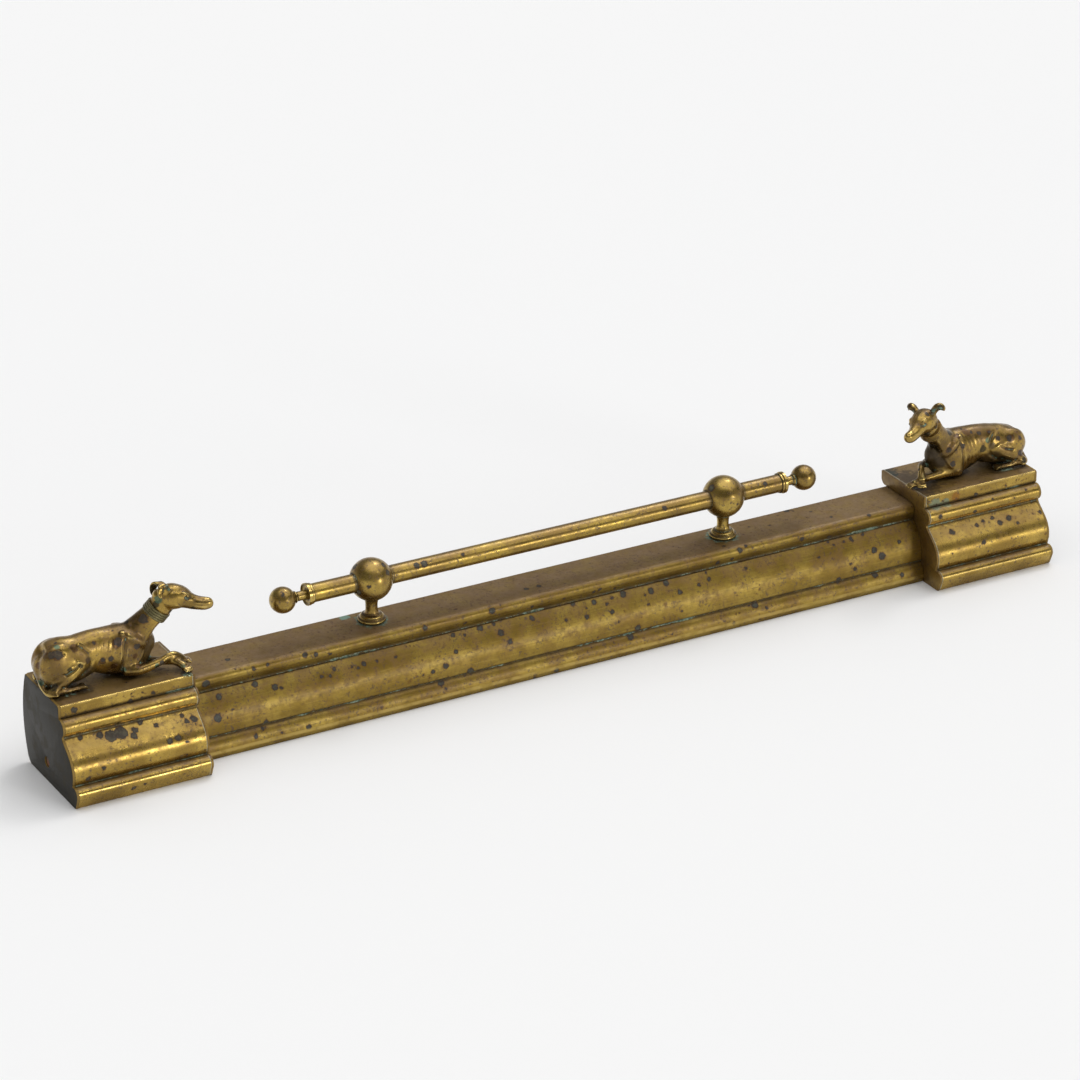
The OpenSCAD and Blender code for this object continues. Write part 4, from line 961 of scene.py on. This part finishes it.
NEAR_ARM = [[105, 50, 44, 3, 5], [102, 53.5, 40, 6, 9.5], [98.5, 55.8, 31, 7, 10.5], [94, 57, 20, 6.6, 9],
            [89, 58.5, 10, 5.6, 7]]
FAR_ARM = [[105, 39, 43, 3, 5], [102, 35.5, 39.5, 6, 9.5], [98.5, 32.5, 30.5, 7, 10.5],
           [92.5, 29, 19, 6.6, 9],
           [88, 26, 9.5, 5.6, 7]]
NEAR_FLAT = ([[86, 58, 8.5, 5.6, 6.8], [97, 57.5, 8.6, 4.9, 5.6], [113, 57, 8.4, 4.3, 4.8],
              [127, 57, 7.8, 3.9, 4.1],
              [137, 57, 6.8, 4.1, 4], [145, 57, 4.6, 5, 3.6]], (146, 57, 0), 0)
NEAR_OVER = ([[86, 59.5, 7.6, 5.6, 6.8], [94, 62.5, 7.2, 5.3, 6.2], [103, 64.5, 7.9, 4.9, 5.5],
              [120, 64, 11, 4.3, 4.7],
              [129, 63, 13.8, 4.1, 4.3], [136, 62, 14.6, 4.3, 4.2], [142, 61.5, 12.6, 4.4, 3.7],
              [148, 62, 7.8, 4.9, 3.3]],
             (149, 62.5, 2), 8)
FAR_OVER = ([[87, 24, 9, 5.6, 6.6], [99, 28, 11.5, 4.9, 5.6], [113, 34.5, 14.8, 4.4, 4.8],
             [124, 41.5, 16.6, 4.2, 4.4],
             [130, 48, 17, 4.4, 4.4], [134, 54.5, 14, 4.2, 4], [137, 60, 8.8, 4.8, 3.8]], (137.5, 61, 0.5),
            62)
FAR_UNDER = ([[87, 24, 7.5, 5.6, 6.6], [99, 33, 7, 5, 5.6], [113, 44.5, 7, 4.4, 5], [125, 55, 7.4, 4.1, 4.6],
              [134, 62, 8, 4.2, 4.3], [139.5, 67.5, 7.6, 4.4, 4], [143.5, 73, 5.4, 4.9, 3.8]],
             (144, 74.5, 0), 68)
EAR_UP = [[15, 10, 86, 3.4, 4], [14.8, 12.8, 90, 4, 5], [14.2, 16.4, 93, 4.4, 5.4], [13.2, 19.6, 93, 4.2, 5],
          [12.4, 22, 90.8, 3.4, 4.2], [12, 23, 88.2, 2, 2.6]]
EAR_DOWN = [[15, 10, 86, 3, 4], [14.6, 12.8, 90.5, 2.8, 5], [13.2, 16, 93.2, 2.6, 5.6],
            [11.5, 19.2, 92.4, 2.4, 5.2],
            [10.2, 21.3, 87.4, 2, 4.4], [9.4, 21.6, 81.5, 1.2, 2.4]]
EAR_BACK = [[13.5, 9, 85, 3, 4], [10.5, 11.5, 89, 2.6, 5], [6, 14, 89.5, 2.2, 5.6],
            [2.6, 16.6, 86.3, 1.9, 5.4],
            [1.2, 18, 80.5, 1.6, 4.6], [1.4, 18, 76, 1.1, 2.6]]


def chased_hound(name, turn, nod, near_ear, far_ear, rump, near_leg, far_leg):
    """One skin over the hound's masses, relaxed, then chased with creases, muscles, eyes, ears and toes."""
    cast, in_head = hound_casting(turn, nod, near_ear, far_ear, rump, near_leg, far_leg)
    mesh = bpy.data.meshes.new(name)
    mesh.from_pydata([tuple(p) for p in np.vstack(cast.points) * MM], [], cast.faces)
    hound = bpy.data.objects.new(name, mesh)
    bpy.context.scene.collection.objects.link(hound)
    work(hound, MERGED, FACING_OUT)
    finish_with(hound, "REMESH", mode="VOXEL", voxel_size=0.95 * MM, adaptivity=0)
    work(hound, FACING_OUT)
    web = neighbours(hound.data)
    skin = corners(hound)

    # The body and neck are rubbed down more than the head, the ears and the paws
    head_middle = in_head((30, 0, 77))[0]
    fine = np.clip(1.6 - np.linalg.norm(skin - head_middle, axis=1) / 22, 0, 1)
    for paw in (near_leg[1], far_leg[1]):
        fine = np.maximum(fine, np.clip(1.6 - off_line(skin, [[paw[0] + 2, paw[1] + 2, 4]]) / 9, 0, 1))
    fine = np.maximum(fine, np.clip(1.5 - off_line(skin, [[37, 62, 4], [41, 62, 3]]) / 8, 0, 1))
    skin = relaxed(skin, web, 3, 0.5)
    skin = relaxed(skin, web, 22, 0.5 * (1 - fine))

    def stroke(line, width, amount, power=2.0, side=None, way=None):
        """Raises or cuts the skin along a line, width mm to each side, amount mm outwards."""
        nonlocal skin
        out = facing(hound, skin)
        close = np.clip(1 - off_line(skin, line) / width, 0, 1)
        near = close ** power * (3 - 2 * close)
        if side is not None:
            near = near * np.clip((out @ np.array(side, float)) * 3, 0, 1)
        move = out if way is None else np.broadcast_to(np.array(way, float), out.shape)
        skin = skin + move * (near * amount)[:, None]

    H = lambda *places: in_head(list(places))
    # Head: stop, eye sockets and lids, nostrils, mouth, cheek and jaw lines, temples
    for out in (1, -1):
        stroke(H((36.4, out * 9.4, 80.2)), 2.0, 0.5)
        stroke(H((33.8, out * 8.8, 79.4), (35.5, out * 9.2, 81.9), (38.4, out * 7.6, 81.2)), 1.1, -0.6)
        stroke(H((34.2, out * 9.2, 78.6), (37, out * 8.8, 77.8), (39.4, out * 7.2, 79)), 1.2, -0.7)
        stroke(H((59.3, out * 2.6, 75)), 1.5, -1.1)
        stroke(H((59.6, 0.3 * out, 71.6), (56, out * 5.2, 70.4), (50, out * 6.2, 70.2),
                 (43, out * 7.4, 71.2)), 1.1, -0.7)
        stroke(H((43, out * 7.4, 71.2), (39, out * 9, 73)), 1.6, -0.4)
        stroke(H((15, out * 13.8, 70), (22, out * 13.4, 67.5), (30, out * 10.8, 68)), 2.2, -0.5)
        stroke(H((17, out * 12, 86), (25, out * 11, 87.5), (30, out * 9.5, 86)), 3.2, -0.5)
        stroke(H((44, out * 5.6, 78.2), (52, out * 4.6, 76.2)), 2.0, -0.5)
    stroke(H((24, 0, 92), (33, 0, 88), (40, 0, 82)), 2.4, -0.5)
    stroke(H((58, 0, 78), (60, 0, 75), (60.2, 0, 72)), 0.9, -0.5)

    # Ear hollows, cut into the side that faces outwards and forwards
    for out, stations in ((1, near_ear), (-1, far_ear)):
        spine = np.array([[p[0] + 1.2, out * (p[1] + 0.4), p[2]] for p in stations[1:5]])
        forward, aside = in_head.way((1, 0, 0)), in_head.way((0, out, 0))
        stroke(in_head(spine), 4.4, -2.2, 1.5, side=forward + 0.7 * aside)

    # Neck: windpipe groove and the two cords to the breastbone
    for out in (1, -1):
        stroke([[124, 52 + out * 9, 60], [116, 51 + out * 9.5, 49], [110, 50 + out * 8, 40]], 4, 0.9)
        stroke([[126, 55 + out * 4, 56], [119, 52 + out * 4, 44], [114, 50 + out * 3.5, 34]], 2.6, -0.9)
    # Shoulder blade ridge, groove behind the upper arm, ribs and flank
    for out in (1, -1):
        y = lambda d: HOUND_MID + out * d
        stroke([[84, y(12), 49], [92, y(16), 43], [100, y(18), 37], [106, y(16.5), 31]], 3, 0.9)
        stroke([[107.5, y(15), 31], [104.5, y(17.5), 24], [99, y(19.5), 16]], 2.6, 1.0)
        stroke([[88, y(15), 47], [85, y(18.5), 38], [84, y(19.5), 28], [82, y(19), 17], [80, y(17), 9]],
               3.2, -1.3)
        stroke([[99, y(18), 30], [95, y(19.5), 21], [91, y(20), 13]], 3, -0.6)
        for k in range(5):
            x = 79 - 5.2 * k
            stroke([[x, y(14), 44], [x - 3, y(18), 33], [x - 4.5, y(18.5), 22], [x - 3, y(15), 12]], 1.7,
                   -0.32)
        # Crease in front of the thigh, over the knee, and between thigh and shank
        stroke([[38, y(13), 46], [46, y(16), 37], [49, y(16), 28], [46, y(17), 19], [38, y(17), 12]], 3.4,
               -1.6)
        stroke([[10, y(19), 24], [20, y(22), 21.5], [29, y(22.5), 25], [35, y(21.5), 29.5]], 2.0, -1.5)
        stroke([[8, y(20), 12], [18, y(24), 7.6], [28, y(23.5), 7.4], [36, y(20), 10]], 2.0, -1.4)
        stroke([[12, y(18), 29], [22, y(21), 27.5], [31, y(21.5), 30]], 1.5, -0.8)
        stroke([[13, y(17), 46], [19, y(19), 43.5]], 2.2, -0.9)
        stroke([[33, y(21), 32], [40, y(20), 28.5]], 3, 0.8)
        # Tendon along the shank and hock
        stroke([[30, y(23), 17.5], [17, y(24.5), 10.5], [6, y(24), 6.5]], 1.4, 0.5)
    # Loins and spine
    stroke([[30, 44, rump * 0.5 + 30], [50, 43.5, 56], [70, 43, 54], [88, 44, 54]], 2.2, -0.25)

    # Toes: cuts between them
    def part_toes(at, heading, length):
        c, s = math.cos(math.radians(heading)), math.sin(math.radians(heading))
        for i in (-1, 0, 1):
            root = (at[0] - 2.3 * i * s, at[1] + 2.3 * i * c)
            tip = (at[0] - 2.75 * i * s + (length + 1) * c, at[1] + 2.75 * i * c + (length + 1) * s)
            start = (root[0] - 3.5 * c, root[1] - 3.5 * s)
            stroke([[start[0], start[1], at[2] + 6.4], [root[0], root[1], at[2] + 5.6],
                    [tip[0], tip[1], at[2] + 2]],
                   1.1, -0.8)

    part_toes(near_leg[1], near_leg[2], 7.5)
    part_toes(far_leg[1], far_leg[2], 7.5)
    part_toes((35.5, 62, 0), 0, 6.5)
    part_toes((35.5, 24, 0), 0, 6.5)

    # Filing marks and casting unevenness, then the flat that sits on the slab
    rng = np.random.default_rng(7)
    waves = np.zeros(len(skin))
    for _ in range(14):
        pitch = rng.uniform(7, 22)
        heading = rng.normal(size=3)
        waves += np.sin(skin @ (heading / np.linalg.norm(heading)) * 2 * math.pi / pitch
                        + rng.uniform(0, 6.3)) * pitch / 22
    skin = skin + facing(hound, skin) * (waves * 0.07)[:, None]
    skin = relaxed(skin, web, 1, 0.4)
    skin[:, 2] = np.maximum(skin[:, 2], 0.02)

    # What the casting remembers: folds that hold dirt, and edges that hands rub. The fold measure also
    # counts how closed in each point is by the casting and the slab, and how near the slab it lies, so
    # the dark brown it brings is partly painted shade, and the edges it lightens are partly a painted
    # highlight.
    out = facing(hound, skin)
    broad = relaxed(skin, web, 26, 0.6)
    tight = relaxed(skin, web, 6, 0.6)
    hollow = np.einsum("ij,ij->i", broad - skin, out)
    fold = np.einsum("ij,ij->i", tight - skin, out)
    others = skin[::37].astype(np.float32)
    plate = np.array([[x, y, 0] for x in range(-4, 156, 8) for y in range(4, 90, 8)], np.float32)
    others = np.vstack([others, plate])
    shut = np.zeros(len(skin), np.float32)
    for i in range(0, len(skin), 1500):
        gap = others[None] - skin[i:i + 1500, None].astype(np.float32)
        far = np.sqrt((gap ** 2).sum(2)) + 1e-3
        ahead = np.clip((gap * out[i:i + 1500, None].astype(np.float32)).sum(2) / far - 0.15, 0, 1)
        shut[i:i + 1500] = (ahead * np.exp(-((far - 2) / 13) ** 2)).sum(1)
    shut /= np.percentile(shut, 97)
    low = np.clip(1 - skin[:, 2] / 2.2, 0, 1)
    cranny = (np.clip(hollow / 0.9, 0, 1) * 0.55 + np.clip(fold / 0.22, 0, 1) * 0.5
              + np.clip(shut * 1.5 - 0.35, 0, 1) * 0.8 + low * 0.9)
    # Dirt lies deepest inside the ears, and verdigris in the eyes; on the breast, under the chest, in the
    # flank folds and low on the belly the dark brown is partly dirt and partly painted shade
    for place, reach, most in (((112, 44, 22), 32, 1.6), ((100, 44, 5), 24, 1.4), ((44, 62, 12), 20, 1.6),
                               ((45, 60, 30), 9, 1.2), ((62, 62, 4), 14, 1.4), ((44, 24, 12), 20, 1.6)):
        cranny = np.maximum(cranny, np.clip(nearness([place], skin, reach) * most, 0, 0.84))
    for out_side, stations in ((1, near_ear), (-1, far_ear)):
        spine = in_head([[p[0] + 3, out_side * p[1], p[2]] for p in stations[:5]])
        cranny = np.maximum(cranny, np.clip(1.25 - off_line(skin, spine) / 4.5, 0, 1)
                            * (out @ in_head.way((1, 0, 0)) > 0))
        socket = H((33.8, out_side * 9.2, 79), (36.5, out_side * 9.4, 78), (39.2, out_side * 7.6, 79))
        cranny = np.maximum(cranny, np.clip(1.5 - off_line(skin, socket) / 2.2, 0, 1))
    edge = (np.clip(-hollow / 0.9, 0, 1) * 0.8 + np.clip(-fold / 0.2, 0, 1) * 0.5
            - np.maximum(shut, cranny * 0.6))
    return hound, skin, np.clip(cranny, 0, 1), np.clip(edge, 0, 1)


def set_on_block(hound, skin, side, cranny, edge):
    """Puts a hound on its block: its axes run from the block's outer face to the middle."""
    place = np.stack([skin[:, 0] - 590, BACK_Y - skin[:, 1], skin[:, 2] + 100], 1)
    if side == "right":
        place[:, 0] *= -1
    hound.data.vertices.foreach_set("co", (place * MM).ravel())
    hound.data.update()
    mark(hound, "cranny", cranny)
    mark(hound, "edge", edge)
    work(hound, MERGED, FACING_OUT)
    for face in hound.data.polygons:
        face.use_smooth = True


# Stains and spots that the photo shows, as [x px, y px, radius mm]: black-green in the folds, which is
# partly dirt and partly painted shade, verdigris, brown on the high parts, and dark round spots
FOLD_STAINS_AND_SHADE = [
    (932, 450, 13), (930, 460, 12), (939, 462, 10), (949, 432, 6), (942, 406, 6), (983, 449, 6),
    (980, 460, 8), (1001, 458, 6), (1024, 460, 5), (970, 466, 6), (924, 464, 6), (936, 427, 4),
    (927, 434, 5), (924, 476, 4), (914, 481, 4), (156, 604, 5), (153, 589, 9), (156, 585, 4),
    (126, 622, 4), (81, 666, 4), (88, 674, 6), (70, 670, 4), (53, 687, 6), (149, 656, 4),
    (193, 608, 3), (208, 608, 2.5), (171, 611, 4)]
GREEN_STAINS = [
    (939, 408, 4), (988, 440, 4), (993, 468, 4), (934, 471, 4), (158, 599, 6), (169, 589, 3.5),
    (41, 682, 5), (124, 670, 4), (57, 647, 4), (157, 666, 4), (183, 666, 3.5)]
BROWN_STAINS = [
    (910, 405, 4), (957, 436, 5), (966, 432, 7), (989, 432, 4), (1011, 438, 6), (1020, 453, 6),
    (931, 412, 4), (117, 643, 7), (58, 655, 8), (74, 648, 6), (45, 656, 5), (38, 666, 5), (114, 666, 5),
    (102, 661, 5), (88, 661, 4), (191, 661, 3), (186, 599, 2.5), (139, 666, 4), (135, 656, 4)]
HOUND_SPOTS = [
    (143, 619, 5), (118, 642, 4.5), (103, 660, 2.5), (111, 659, 3), (58, 655, 5), (94, 643, 2),
    (1009, 438, 3.5), (1020, 438, 2.5), (998, 438, 2.5), (1020, 453, 3.5), (949, 450, 3), (956, 450, 2),
    (963, 446, 2.5), (971, 432, 2), (961, 429, 2), (979, 433, 2.5), (927, 414, 2.5), (989, 432, 2),
    (1006, 449, 2)]
POSES = {"left": (25, 0, EAR_DOWN, EAR_BACK, 53, NEAR_OVER, FAR_UNDER),
         "right": (27, 2, EAR_UP, EAR_UP, 44, NEAR_FLAT, FAR_OVER)}
hounds = []
for side, shell in (("left", left_shell), ("right", right_shell)):
    hound, skin, cranny, edge = chased_hound(f"{side}_cast_hound", *POSES[side])
    set_on_block(hound, skin, side, cranny, edge)
    hounds.append(hound)
    # Verdigris has crept out from under the casting over the slab's top, and the same mark darkens the
    # slab round the hound's base as painted shade
    footing = skin[skin[:, 2] < 1.5][::7, :2]
    on_top = corners(shell)
    on_top = np.stack([590 - np.abs(on_top[:, 0]), BACK_Y - on_top[:, 1], on_top[:, 2]], 1)
    crept_and_shaded = np.clip(nearness(footing, on_top[:, :2], 12) * 1.35, 0, 0.9) * (on_top[:, 2] > 99)
    grooves = np.zeros(len(on_top))
    shell.data.attributes["cranny"].data.foreach_get("value", grooves)
    mark(shell, "cranny", np.maximum(grooves, crept_and_shaded))

stains_and_shade = [(x, y, radius, tone) for marks, tone in ((FOLD_STAINS_AND_SHADE, "#1f2219"), (GREEN_STAINS, "#44614f"),
                                                   (BROWN_STAINS, "#53391f")) for x, y, radius in marks]
# The two patches listed last lie on the left hound: a black-green one low on its near side, partly dirt and
# partly painted shade, and one of verdigris
cast_brass = aged_brass("aged_cast_brass", shine="#ae9044", dull="#6c562b", brown="#57452c",
                        flat_tarnish=0.35,
                        green=("#6f8f7c", "#2c4034"), heart_tone="#4b3d28", rough=0.29, dents=1.4, film=0.8,
                        wax=0.22, speckle=0.6, blots=seen_on(hounds, HOUND_SPOTS),
                        stains_and_shade=seen_on(hounds + [left_shell, right_shell], stains_and_shade)
                        + [(-522, 0, 105, 6, "#1f2219"), (-458, -7, 104, 3.5, "#44614f")])
for side, hound in zip(("left", "right"), hounds):
    dress(hound, cast_brass, f"{side}_block", f"{side}_hound")

# ---------- Collars and screws ----------
# Each hound wears a reeded brass band, and two iron screws with washers and nuts hold it.

collar_brass = aged_brass("aged_collar_brass", shine="#77704c", dull="#4d4a38", flat_tarnish=0.2, spots=0.3,
                          film=0.2)
for side, brass in (("left", collar_brass), ("right", cast_brass)):
    dress(parts[f"{side}_collar"], brass)
    for name in ("hound_screws", "hound_washers", "hound_nuts"):
        dress(parts[f"{side}_{name}"], rod_iron)
